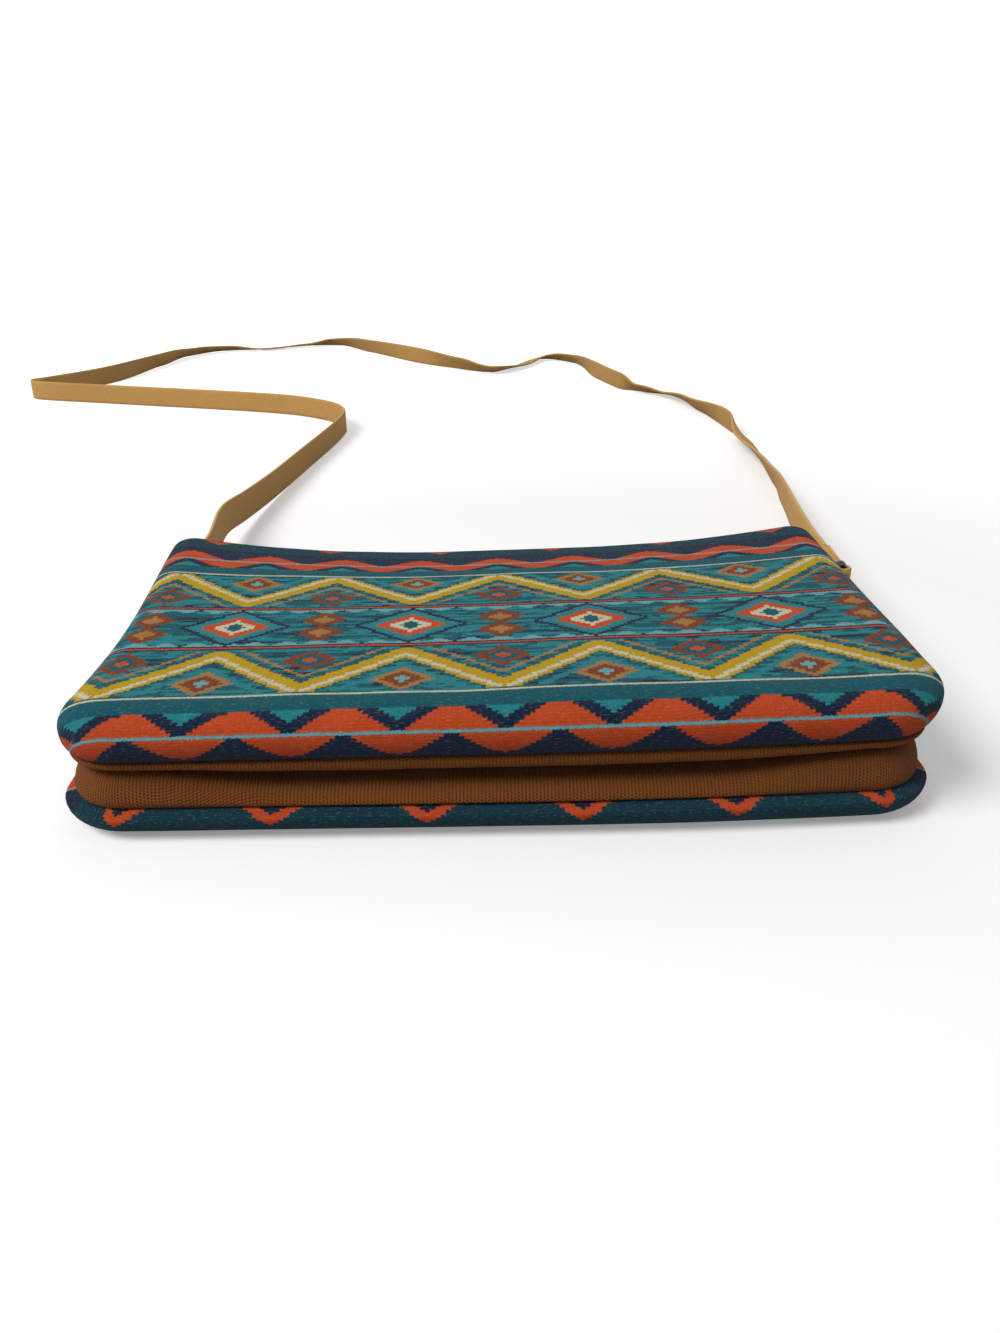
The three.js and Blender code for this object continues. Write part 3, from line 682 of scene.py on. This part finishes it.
def panel_section(under_drop):
    """Section of a panel from the middle of its face over the rolled edge and back inside.

    Each row: inset, height above the roll's nose, share of the drop under it, inset on the flat
    cloth, and how free the wool is to ripple there.
    """
    section = [(inset, ROLL_HEIGHT, 0.0, inset, 1.0) for inset in FACE_ROWS]
    walked = 0.0
    before = (ROLL_DEPTH, ROLL_HEIGHT)
    for degrees in range(90, -ROLL_TURN - 1, -ROLL_STEP):
        t = math.radians(degrees)
        inset = ROLL_DEPTH * (1 - math.cos(t))
        above = ROLL_HEIGHT * max(0.0, math.sin(t))
        below = min(0.0, math.sin(t))
        here = (inset, above + under_drop * below)
        walked += math.dist(here, before)
        before = here
        free = (degrees + ROLL_TURN) / (90 + ROLL_TURN)
        section.append((inset, above, below, ROLL_DEPTH - walked, free))
    for tuck, rise in RIM_ROWS:
        walked += RIM_STEP
        section.append((RIM_INSET + tuck, rise, -ROLL_SINE, ROLL_DEPTH - walked, 0.0))
    for degrees in range(-ROLL_TURN, 91, INSIDE_STEP):
        t = math.radians(degrees)
        inset = WOOL + (ROLL_DEPTH - WOOL) * (1 - math.cos(t))
        if degrees == -ROLL_TURN:
            inset = RIM_INSET + WOOL
        above = (ROLL_HEIGHT - WOOL) * max(0.0, math.sin(t))
        section.append((inset, above, min(0.0, math.sin(t)), ROLL_DEPTH - walked, 0.0))
    section += [(inset, ROLL_HEIGHT - WOOL, 0.0, inset, 0.0) for inset in INSIDE_ROWS]
    return section


def wool_panel(name, front):
    """One wool panel: its section carried round the bag, with the unevenness of padded cloth."""
    under_drop = FRONT_UNDER if front else BACK_UNDER
    cut = FRONT_CUT if front else BACK_CUT
    rings, cloth = [], []
    for inset, above, below, flat_inset, free in panel_section(under_drop):
        edge_free = EDGE_RIPPLE * free * (1 - smooth((inset - EDGE_START) / EDGE_FADE))
        ring = []
        for x, y in outline(inset):
            z = NOSE_Z + above + mix(ROLL_UNDER, under_drop, seam_drop(y)) * below
            if front:
                z += ripple(x, y, FACE_SEED) * free
            reach = 1 - ripple(x, y, EDGE_SEED) * edge_free / HALF_W
            height = lie(x, y, z, front)
            ring.append(settle(x * reach, y * reach, height if front else max(height, 0.0)))
        rings.append(ring)
        cloth.append([(u, v - cut, 0.0) for u, v in outline(flat_inset)])
    return piece_from_rings(name, rings, cloth, WOOL_CLOTH)


def lining_sheet(name, front):
    """One lining, hung inside its panel down to the seam."""
    face = THICK - WOOL - LINING_SLACK
    # Each row: inset, drop under the face, and how far in and down its other side lies
    rows = (
        (61, 0, 0, LINING),
        (46, 0, 0.0625, LINING),
        (30, 0, 0.125, LINING),
        (17, 0, 0.1875, LINING),
        (12.5, 0.1, 0.25, LINING),
        (10, 0.7, 0.8125, LINING),
        (LINING_INSET + 0.5, 1.6, 0.875, LINING),
        (LINING_INSET, 2.8, 0.9375, 0),
        (LINING_INSET, face - SEAM_Z - 1, 1, 0),
    )
    section = [(inset, face - drop) for inset, drop, _, _ in rows]
    section += [(inset + further, face - drop - down) for inset, drop, further, down in reversed(rows)]
    rings, cloth = [], []
    for inset, z in section:
        points = outline(inset, corner_steps=6, long_steps=20, short_steps=12)
        ring = [settle(x, y, lie(x, y, z, front)) for x, y in points]
        rings.append(ring)
        cloth.append([(x, y, 0.0) for x, y, _ in ring])
    return piece_from_rings(name, rings, cloth, COTTON)


def spline(points, steps):
    """A smooth open line through points, with the same number of steps between each two."""
    before = [2 * a - b for a, b in zip(points[0], points[1])]
    after = [2 * a - b for a, b in zip(points[-1], points[-2])]
    stops = [before, *points, after]
    line = []
    for four in zip(stops, stops[1:], stops[2:], stops[3:]):
        spans = [math.dist(a, b) ** 0.5 for a, b in zip(four, four[1:])]
        line += [centripetal(*four, spans, s / steps) for s in range(steps)]
    line.append(tuple(points[-1]))
    return line


def centripetal(p0, p1, p2, p3, spans, t):
    """A place between the second and the third of four points on a centripetal spline."""
    d0, d1, d2 = spans
    place = []
    for a, b, c, d in zip(p0, p1, p2, p3):
        m1 = ((b - a) / d0 - (c - a) / (d0 + d1) + (c - b) / d1) * d1
        m2 = ((c - b) / d1 - (d - b) / (d1 + d2) + (d - c) / d2) * d1
        square = -3 * b + 3 * c - 2 * m1 - m2
        cube = 2 * b - 2 * c + m1 + m2
        place.append(b + m1 * t + square * t * t + cube * t ** 3)
    return tuple(place)


def gusset_stations():
    """Places down the left side, round the bottom and up the right side."""
    top = SEAM_Y - CANVAS - GAP
    stations = [(-HALF_W, top, math.pi)]
    run_on(stations, -HALF_W, BOTTOM_CORNER - HALF_H, SIDE_STEPS)
    turn_on(stations, BOTTOM_CORNER, QUARTER, CORNER_STEPS)
    run_on(stations, HALF_W - BOTTOM_CORNER, -HALF_H, BOTTOM_STEPS)
    turn_on(stations, BOTTOM_CORNER, QUARTER, CORNER_STEPS)
    run_on(stations, HALF_W, top, SIDE_STEPS)
    return stations


def fold_share(x, y):
    """How open the fold is: 1 in the middle of a side, 0 at the corners and the top ends."""
    if abs(x) >= HALF_W - 0.01:
        up = smooth((y + HALF_H - BOTTOM_CORNER) / FOLD_UP)
        return min(up, smooth((SEAM_Y - y) / FOLD_DOWN))
    return smooth((HALF_W - BOTTOM_CORNER - abs(x)) / FOLD_ALONG)


def gusset_face(x, y, run):
    """Section of the gusset's outside: out of each seam, over a soft lip and in to the fold."""
    share = fold_share(x, y)
    depth = mix(FOLD_CORNER_DEPTH, FOLD_DEPTH, share)
    wave = noise.noise(Vector((run / WAVE_LENGTH, 2.0, 5.0)))
    crease = noise.noise(Vector((run / CREASE_LENGTH, 9.0, 1.0)))
    droop = seam_drop(y)
    high = NOSE_Z - mix(ROLL_UNDER, FRONT_UNDER, droop) * ROLL_SINE
    low = THICK - NOSE_Z + mix(ROLL_UNDER, BACK_UNDER, droop) * ROLL_SINE
    lip = mix(LIP_CORNER, LIP_SIDE, share * droop) + 0.4 * wave + 0.2 * crease
    crest = mix(CREST_CORNER, CREST_SIDE, share) + 0.35 * wave - 0.25 * crease
    swell = 0.25 * wave
    upper = [
        (TUCK_INSET, high + TUCK),
        (TUCK_INSET - 0.1, high - 0.4),
        (RIM_INSET + 1.0, high - 0.9),
        (RIM_INSET + 0.2 - swell, mix(high, lip, 0.4)),
        (RIM_INSET + 0.4 - swell, mix(high, lip, 0.75)),
        (RIM_INSET + 1.6, lip),
        (RIM_INSET + 4.5, lip + 0.1),
        (depth * 0.75, MID + 0.9),
        (depth, MID + 0.5),
    ]
    lower = [
        (depth, MID - 0.5),
        (depth * 0.75, MID - 0.9 - 1.6 * share),
        (RIM_INSET + 6.5, crest + 0.3 + 0.3 * share),
        (RIM_INSET + 3.6, crest),
        (RIM_INSET + 1.6, mix(crest, low, 0.2)),
        (RIM_INSET + 0.4 + swell, mix(crest, low, 0.5)),
        (RIM_INSET + 0.1 + swell, mix(crest, low, 0.8) + 0.3),
        (RIM_INSET + 0.9, low + 0.6),
        (TUCK_INSET - 0.1, low + 0.4),
        (TUCK_INSET, low - TUCK),
    ]
    return spline(upper, steps=3) + spline(lower, steps=3)


def distances(line):
    """How far along a line each of its points is."""
    walked = [0.0]
    for a, b in zip(line, line[1:]):
        walked.append(walked[-1] + math.dist(a, b))
    return walked


def canvas_gusset():
    """The folded canvas strip: its section carried round the sides and the bottom."""
    stations = gusset_stations()
    rings, cloth = [], []
    for (x, y, angle), run in zip(stations, distances([s[:2] for s in stations])):
        face = gusset_face(x, y, run)
        widths = distances(face)
        inner = offset_line(face, CANVAS)
        ring = []
        for inset, z in face + inner[::-1]:
            px = x - math.cos(angle) * inset
            ring.append(settle(px, y - math.sin(angle) * inset, z * lift(px)))
        rings.append(ring)
        cloth.append([(run, width, 0.0) for width in widths + widths[::-1]])
    return piece_from_rings("gusset_canvas", rings, cloth, CANVAS_CLOTH)


def offset_line(line, distance):
    """An open line moved sideways, to its left."""
    moved = []
    for i, (u, v) in enumerate(line):
        a = line[max(0, i - 1)]
        b = line[min(len(line) - 1, i + 1)]
        du, dv = b[0] - a[0], b[1] - a[1]
        size = math.hypot(du, dv) or 1.0
        moved.append((u - dv / size * distance, v + du / size * distance))
    return moved


def there_and_back(near, far, steps):
    """Shares from 0 to 1 on one side of a strip and from 1 to 0 on its other side."""
    rows = [k / steps for k in range(steps + 1)]
    return [(row, near) for row in rows] + [(row, far) for row in reversed(rows)]


def tab_stations():
    """Places from the zip's end round the right top corner to the ring tab."""
    stations = [(HALF_W - TAB_REACH, HALF_H, QUARTER)]
    run_on(stations, HALF_W - TOP_CORNER, HALF_H, steps=8)
    turn_on(stations, TOP_CORNER, -QUARTER, steps=10)
    run_on(stations, HALF_W, SEAM_Y + CANVAS + GAP, steps=6)
    return stations


def zip_end_tab(name, side):
    """Canvas strip that closes a top corner between the zip and the ring tab."""
    stations = tab_stations()
    rings, cloth = [], []
    for (x, y, angle), run in zip(stations, distances([s[:2] for s in stations])):
        ring, marks = [], []
        for row, inset in there_and_back(TUCK_INSET, TUCK_INSET + CANVAS, steps=12):
            bulge = TAB_BULGE * math.sin(math.pi * row) * smooth(run / TAB_FLAT)
            px = side * (x - math.cos(angle) * (inset - bulge))
            py = y - math.sin(angle) * (inset - bulge)
            top = lie(px, py, SEAM_Z + TUCK, True)
            low = lie(px, py, SEAM_Z + TUCK, False)
            ring.append(settle(px, py, mix(top, low, row)))
            marks.append((run, row * TAB_HEIGHT, 0.0))
        rings.append(ring)
        cloth.append(marks)
    return piece_from_rings(name, rings, cloth, CANVAS_CLOTH)


def zip_tape(name, front):
    """Zip tape: straight along the teeth, its other edge sewn under the panel's rim."""
    reach = HALF_W - TAB_REACH + TAPE_UNDER_TAB
    far = HALF_H - TAPE_INSET
    free = ZIP_HEIGHT + (1 if front else -1) * (ROW_BACK + GAP)
    rings, cloth = [], []
    for i in range(TAPE_STEPS + 1):
        x = mix(-reach, reach, i / TAPE_STEPS)
        edge = lie(x, far, SEAM_Z + TAPE_SEWN, front)
        rows = there_and_back(far - TAPE, far, steps=6)
        rings.append([settle(x, y, mix(free, edge, row)) for row, y in rows])
        cloth.append([(x, row * abs(edge - free), 0.0) for row, _ in rows])
    return piece_from_rings(name, rings, cloth, TAPE_CLOTH)


def ribbon_section(width, thick):
    """Section of a flat tape with its corners broken, in points across and through it."""
    half_w, half_t = width / 2, thick / 2
    corner = min(RIBBON_CORNER, half_t * CORNER_SHARE)
    flat = half_w - corner
    half = [(mix(-flat, flat, k / RIBBON_STEPS), half_t) for k in range(RIBBON_STEPS + 1)]
    half += [(half_w, half_t - corner), (half_w, corner - half_t)]
    return half + [(-a, -b) for a, b in half]


def ribbon(name, line, thick, width, material, turns=None):
    """A flat tape swept along a line: its broad side stands up, leaned over by the turn at each point."""
    section = ribbon_section(width, thick)
    rings, cloth = [], []
    for i, (point, run) in enumerate(zip(line, distances(line))):
        centre = Vector(point)
        ahead = Vector(line[min(len(line) - 1, i + 1)])
        behind = Vector(line[max(0, i - 1)])
        along = (ahead - behind).normalized()
        turn = turns[i] if turns else 0.0
        face = along.cross(UP).normalized()
        tall = face.cross(along).normalized()
        wide = tall * math.cos(turn) + face * math.sin(turn)
        thin = along.cross(wide).normalized()
        rings.append([tuple(centre + wide * a + thin * b) for a, b in section])
        cloth.append([(run, a, 0.0) for a, _ in section])
    return piece_from_rings(name, rings, cloth, material)


def direction_at(degrees):
    angle = math.radians(degrees)
    return Vector((math.cos(angle), math.sin(angle), 0))


def left_of(direction):
    return Vector((-direction.y, direction.x, 0))


def ring_place(side):
    """Where a ring turns, which way it points and where its outer bar is."""
    pivot = Vector((side * PIVOT_X, SEAM_Y, MID * lift(side * HALF_W)))
    toward = direction_at(RING_ANGLE[side])
    return pivot, toward, pivot + toward * RING_REACH


def on_strap_end(side, distance):
    """A place on the middle of a strap's folded end, at a distance from the ring's bar."""
    _, _, bar = ring_place(side)
    return bar + direction_at(STRAP_EXIT[side]) * distance


def loop_line(centre, direction, inside, thick, leg):
    """Middle line of a tape that runs in along a leg, round a bar and back out again."""
    radius = inside + thick / 2
    apart = thick / 2 + LEG_APART
    start = math.asin(apart / radius) + LOOP_START
    blend = radius * LOOP_BLEND
    leg_in = [(leg, apart), (mix(leg, blend, 0.2), apart), (blend * 1.15, apart + 0.02)]
    angles = [mix(start, 2 * math.pi - start, k / LOOP_STEPS) for k in range(LOOP_STEPS + 1)]
    turn = [(radius * math.cos(angle), radius * math.sin(angle)) for angle in angles]
    leg_out = [(u, -v) for u, v in reversed(leg_in)]
    line = spline(leg_in + turn + leg_out, steps=6)
    sideways = left_of(direction)
    return [tuple(centre + direction * u + sideways * v) for u, v in line]


def strap_end(name, side):
    """Folded strap end: a loop round the ring's outer bar and a doubled leg."""
    exit_way = direction_at(STRAP_EXIT[side])
    line = loop_line(on_strap_end(side, 0), exit_way, RING_WIRE + LOOP_PLAY, STRAP_THICK, LOOP_LEG)
    return ribbon(name, line, STRAP_THICK, STRAP_WIDTH, WEBBING)


def ring_tab(name, side):
    """Canvas tab sewn into the side, with its loop round the ring."""
    pivot, _, _ = ring_place(side)
    sewn = PIVOT_X - (HALF_W - TUCK_INSET - CANVAS - RING_TAB_SEWN)
    line = loop_line(pivot, Vector((-side, 0, 0)), RING_WIRE + RING_PLAY, CANVAS, sewn)
    return ribbon(name, line, CANVAS, RING_TAB_WIDTH, CANVAS_CLOTH)


def strap_ring(name, side):
    """Rectangular wire ring with rounded corners."""
    pivot, toward, _ = ring_place(side)
    across = left_of(toward)
    half = STRAP_WIDTH / 2 + RING_PLAY + RING_WIRE
    low = RING_CORNER - half
    ends = ((RING_CORNER, half), (0, low), (RING_REACH - RING_CORNER, -half), (RING_REACH, -low))
    sides = [(RING_CORNER, u, v, 1) for u, v in ends]
    rings = []
    for u, v, angle in round_trip((*ends[-1], 0.0), sides, corner_steps=12):
        out = toward * math.cos(angle) + UP * math.sin(angle)
        centre = pivot + toward * u + UP * v
        rings.append([
            tuple(centre + out * RING_WIRE * math.cos(turn) + across * RING_WIRE * math.sin(turn))
            for turn in circle(RING_SIDES)
        ])
    marks = [[(0.0, 0.0, 0.0)] * RING_SIDES] * len(rings)
    return piece_from_rings(name, rings, marks, LACQUER, closed=True)


def half_height(turn):
    """Half the height of the strap's section when it leans over."""
    return STRAP_WIDTH / 2 * math.cos(turn) + STRAP_THICK / 2 * math.sin(turn)


def strap_line():
    """The strap's middle line and how far it leans over at each point."""
    stops = [(*on_strap_end(-1, LOOP_LEG + GAP), 0.0)]
    for x, y, lean, raised in STRAP_ROUTE:
        turn = math.radians(lean)
        stops.append((x, y, half_height(turn) + raised + STRAP_ABOVE, turn))
    stops.append((*on_strap_end(1, LOOP_LEG + GAP), 0.0))
    turns = []
    for before, after in zip(stops, stops[1:]):
        turns += [mix(before[3], after[3], smooth(s / STRAP_STEPS)) for s in range(STRAP_STEPS)]
    turns.append(0.0)
    line = spline([stop[:3] for stop in stops], STRAP_STEPS)
    raised = [(x, y, max(z, half_height(turn) + STRAP_LEAST)) for (x, y, z), turn in zip(line, turns)]
    return raised, turns


def bevelled_copy(name, node, width):
    """A metal piece in its solid's own shape, with its edges broken."""
    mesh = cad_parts[node].data.copy()
    mesh.name = name
    work = bmesh.new()
    work.from_mesh(mesh)
    bmesh.ops.remove_doubles(work, verts=work.verts, dist=1e-6)
    bmesh.ops.dissolve_limit(work, angle_limit=0.02, verts=work.verts, edges=work.edges)
    edges = [e for e in work.edges if len(e.link_faces) == 2 and e.calc_face_angle(0) > 0.5]
    bmesh.ops.bevel(work, geom=edges, offset=width * MM, segments=2, affect="EDGES", clamp_overlap=True)
    work.to_mesh(mesh)
    work.free()
    mesh.shade_smooth()
    mesh.set_sharp_from_angle(angle=math.radians(40))
    mesh.materials.clear()
    mesh.materials.append(LACQUER)
    return add_object(name, mesh)


def repeat_tree():
    """Geometry nodes that set one small piece at even steps along a line, turned to follow it."""
    tree = bpy.data.node_groups.new("repeat_along_line", "GeometryNodeTree")
    entries = {"Line": "Geometry", "Piece": "Object", "Step": "Float", "Finish": "Material"}
    for name, kind in entries.items():
        tree.interface.new_socket(name, in_out="INPUT", socket_type="NodeSocket" + kind)
    tree.interface.new_socket("Pieces", in_out="OUTPUT", socket_type="NodeSocketGeometry")
    line, piece, step, finish = [add_node(tree, "NodeGroupInput", None, name) for name in entries]
    curve = add_node(tree, "GeometryNodeMeshToCurve", Mesh=line)
    even = add_node(tree, "GeometryNodeResampleCurve", {"mode": "LENGTH"}, Curve=curve, Length=step)
    tangent = add_node(tree, "GeometryNodeInputTangent")
    turn = add_node(tree, "FunctionNodeAlignRotationToVector", {"axis": "X"}, Vector=tangent)
    shape = add_node(tree, "GeometryNodeObjectInfo", None, "Geometry", Object=piece)
    spread = add_node(tree, "GeometryNodeInstanceOnPoints", Points=even, Instance=shape, Rotation=turn)
    real = add_node(tree, "GeometryNodeRealizeInstances", Geometry=spread)
    paint = add_node(tree, "GeometryNodeSetMaterial", Geometry=real, Material=finish)
    leave = tree.nodes.new("NodeGroupOutput")
    connect(tree, leave.inputs["Pieces"], paint)
    return tree


REPEAT = repeat_tree()


def repeat_along(name, lines, element, material, step):
    """Sets a small piece along one or more lines of points in millimetres and makes one mesh of them."""
    mesh = bpy.data.meshes.new(name + "_line")
    points, edges = [], []
    for line in lines:
        start = len(points)
        points += [tuple(c * MM for c in p) for p in line]
        edges += [(start + i, start + i + 1) for i in range(len(line) - 1)]
    mesh.from_pydata(points, edges, [])
    holder = add_object(name + "_line", mesh)
    modifier = holder.modifiers.new("repeat", "NODES")
    modifier.node_group = REPEAT
    sockets = {s.name: s.identifier for s in REPEAT.interface.items_tree if s.in_out == "INPUT"}
    modifier[sockets["Piece"]] = element
    modifier[sockets["Step"]] = step * MM
    modifier[sockets["Finish"]] = material
    depsgraph = bpy.context.evaluated_depsgraph_get()
    made_mesh = bpy.data.meshes.new_from_object(holder.evaluated_get(depsgraph))
    made_mesh.name = name
    bpy.data.objects.remove(holder)
    made_mesh.shade_smooth()
    return add_object(name, made_mesh)


def coil_turn(half_across, half_up, wire, shift):
    """One turn of the zip's coil, lying across the line that it repeats along."""
    rings = []
    for angle in circle(steps=14):
        c, s = math.cos(angle), math.sin(angle)
        ring = []
        for turn in circle(steps=6):
            out = wire * math.cos(turn)
            ring.append((shift * c + wire * math.sin(turn), (half_across + out) * c, (half_up + out) * s))
        rings.append(ring)
    return add_object("coil_turn", tube_mesh("coil_turn", rings, closed=True))


def coil_line(up):
    """Middle line of one row of the coil. The two rows are half a turn apart."""
    half = ZIP_HALF - COIL_END
    shift = up * COIL_PITCH / 4
    row = ZIP_HEIGHT + up * (ROW_TIP + ROW_BACK) / 2
    return [(shift - half, ZIP_Y, row), (shift + half, ZIP_Y, row)]


def thread_stitch(length, radius):
    """One stitch: a short rounded thread along X."""
    rows = ((-0.5, 0.25), (-0.42, 0.75), (-0.2, 1.0), (0.2, 1.0), (0.42, 0.75), (0.5, 0.25))
    rings = []
    for share, size in rows:
        out = radius * size
        turns = circle(steps=6)
        rings.append([(share * length, out * math.cos(turn), out * math.sin(turn)) for turn in turns])
    return add_object("stitch", tube_mesh("stitch", rings))


def tape_stitch_row(front):
    """Row of stitches on a zip tape, just clear of the panel's rim."""
    row = []
    for i in range(TAPE_STEPS + 1):
        x = mix(-STITCH_REACH, STITCH_REACH, i / TAPE_STEPS)
        z = lie(x, HALF_H - RIM_INSET, SEAM_Z - STITCH_UNDER[front], front)
        row.append(settle(x, HALF_H - TAPE_INSET + STITCH_RISE, z))
    return row


def box_stitch_rows(side):
    """Rows of a box with a cross, on both faces of a strap end's doubled leg."""
    sideways = left_of(direction_at(STRAP_EXIT[side]))
    rows = []
    for face in (1, -1):
        raised = sideways * face * (STRAP_THICK + STITCH_RISE)
        corners = [tuple(on_strap_end(side, u) + raised + UP * z) for u, z in BOX_CORNERS]
        rows += [(corners[a], corners[b]) for a, b in BOX_LINES]
    return rows


def stand_for(piece, node, body):
    """Puts a piece in the place of a solid, which is hidden: the piece moves with a body."""
    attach(piece, body)
    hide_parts(node)


def photo_camera():
    data = bpy.data.cameras.new("camera")
    data.lens = SENSOR * FOCAL_PIXELS / PHOTO_HEIGHT
    data.sensor_width = SENSOR
    camera = add_object("camera", data)
    camera.location = CAMERA_PLACE
    camera.rotation_euler = (math.radians(90 - CAMERA_TILT), 0, math.radians(CAMERA_TURN))
    bpy.context.scene.camera = camera


def area_light(name, place, size, power):
    data = bpy.data.lights.new(name, "AREA")
    data.shape = "DISK"
    data.size = size
    data.energy = power
    made = add_object(name, data)
    made.location = place
    made.rotation_euler = (LIT_PLACE - Vector(place)).to_track_quat("-Z", "Y").to_euler()


def seen_ray(tree):
    """1 for rays that the camera sees, straight or by a shine, and 0 for light that bounces."""
    straight, glossy, clear = [
        add_node(tree, "ShaderNodeLightPath", None, f"Is {kind} Ray")
        for kind in ("Camera", "Glossy", "Transmission")
    ]
    return straight.most(glossy).most(clear)


def table_paper():
    """White table whose far parts glow to the white of the photograph, and that bounces little light."""
    paper = bpy.data.materials.new("white_table")
    paper.use_nodes = True
    tree = paper.node_tree
    tree.nodes.clear()
    bounce = add_node(tree, "ShaderNodeBsdfDiffuse", Color=(0.3, 0.3, 0.3, 1))
    white = add_node(tree, "ShaderNodeBsdfDiffuse", Color=(0.95, 0.95, 0.95, 1))
    place = add_node(tree, "ShaderNodeTexCoord", None, "Object")
    far = add_node(tree, "ShaderNodeVectorMath", {"operation": "LENGTH"}, "Value", Vector=place)
    fill = ((far - GLOW_FROM) * GLOW_RISE).most(0.0).least(GLOW_MOST)
    glow = add_node(tree, "ShaderNodeEmission", Color=(1, 1, 1, 1), Strength=fill + TABLE_GLOW)
    both = tree.nodes.new("ShaderNodeAddShader")
    connect(tree, both.inputs[0], white)
    connect(tree, both.inputs[1], glow)
    choose = tree.nodes.new("ShaderNodeMixShader")
    connect(tree, choose.inputs[0], seen_ray(tree))
    connect(tree, choose.inputs[1], bounce)
    tree.links.new(both.outputs[0], choose.inputs[2])
    surface = tree.nodes.new("ShaderNodeOutputMaterial")
    tree.links.new(choose.outputs[0], surface.inputs["Surface"])
    return paper


def studio_world():
    world = bpy.data.worlds.new("studio")
    bpy.context.scene.world = world
    world.use_nodes = True
    tree = world.node_tree
    tree.nodes.clear()
    strength = WORLD_BOUNCE + seen_ray(tree) * (1 - WORLD_BOUNCE)
    backdrop = add_node(tree, "ShaderNodeBackground", Color=(1, 1, 1, 1), Strength=strength)
    surface = tree.nodes.new("ShaderNodeOutputWorld")
    connect(tree, surface.inputs["Surface"], backdrop)


photo_camera()

# Strap
line, turns = strap_line()
strap = ribbon("strap_webbing", line, STRAP_THICK, STRAP_WIDTH, WEBBING, turns)
strap_length = distances(line)[-1] * MM
ends = {side: strap_end(f"strap_end_{word}_webbing", side) for side, word in SIDES}
rings = {side: strap_ring(f"strap_ring_{word}_metal", side) for side, word in SIDES}
tabs = {side: ring_tab(f"ring_tab_{word}_canvas", side) for side, word in SIDES}

# Bag
front = wool_panel("front_panel_wool", True)
back = wool_panel("back_panel_wool", False)
front_lining = lining_sheet("front_lining_cotton", True)
back_lining = lining_sheet("back_lining_cotton", False)
gusset = canvas_gusset()
end_tabs = {side: zip_end_tab(f"zip_tab_{word}_canvas", side) for side, word in SIDES}

# Zip
tapes = {word: zip_tape(f"zip_tape_{word}_cloth", word == "front") for word in ("front", "back")}
coil = coil_turn(half_across=0.66, half_up=0.56, wire=0.27, shift=0.12)
teeth = {}
for word, up in (("front", 1), ("back", -1)):
    teeth[word] = repeat_along(f"zip_teeth_{word}_coil", [coil_line(up)], coil, NYLON, COIL_PITCH)
bpy.data.objects.remove(coil)
slider = bevelled_copy("zip_slider_metal", "zip_slider", width=0.14)
pull = bevelled_copy("zip_pull_metal", "zip_pull", width=0.16)
zip_stops = {}
for node in ("zip_bottom_stop", "zip_top_stop_front", "zip_top_stop_back"):
    zip_stops[node] = bevelled_copy(node + "_metal", node, width=0.2)

# Stitches
stitch = thread_stitch(length=2.3, radius=0.24)
tape_rows = [tape_stitch_row(True), tape_stitch_row(False)]
zip_stitches = repeat_along("zip_tape_stitches", tape_rows, stitch, THREAD, step=2.9)
end_stitches = {}
for side, word in SIDES:
    rows = box_stitch_rows(side)
    end_stitches[side] = repeat_along(f"strap_end_{word}_stitches", rows, stitch, THREAD, step=2.8)
bpy.data.objects.remove(stitch)

# What each piece stands for and moves with
for side, word in SIDES:
    stand_for(tabs[side], f"ring_tab_{word}", "bag")
    stand_for(end_tabs[side], f"zip_tab_{word}", "bag")
    stand_for(rings[side], f"strap_ring_{word}", f"{word}_ring")
    for piece in (ends[side], end_stitches[side]):
        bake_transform(piece)
    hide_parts(f"strap_end_{word}")
for word in ("front", "back"):
    stand_for(tapes[word], f"zip_tape_{word}", "bag")
    stand_for(teeth[word], f"zip_teeth_{word}", "bag")
for node, piece in zip_stops.items():
    stand_for(piece, node, "bag")
stand_for(front, "front_panel", "bag")
stand_for(back, "back_panel", "bag")
stand_for(front_lining, "front_lining", "bag")
stand_for(back_lining, "back_lining", "bag")
stand_for(gusset, "gusset", "bag")
stand_for(strap, "strap", "bag")
stand_for(slider, "zip_slider", "slider")
stand_for(pull, "zip_pull", "pull")
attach(zip_stitches, "bag")

# The strap's line in metres, worked out and left unused
tuple(c * MM for c in line[0])
[tuple(c * MM for c in p) for p in line]

# Table, light and background
bpy.ops.mesh.primitive_plane_add(size=60, location=(0, 0, -0.0002))
floor = bpy.context.object
floor.name = "floor"
floor.data.materials.append(table_paper())
studio_world()
area_light("key_light", place=(-1.05, -0.65, 1.35), size=0.9, power=23)
area_light("back_light", place=(0.2, 1.6, 1.5), size=1.2, power=2)
bpy.context.scene.view_settings.view_transform = "Standard"
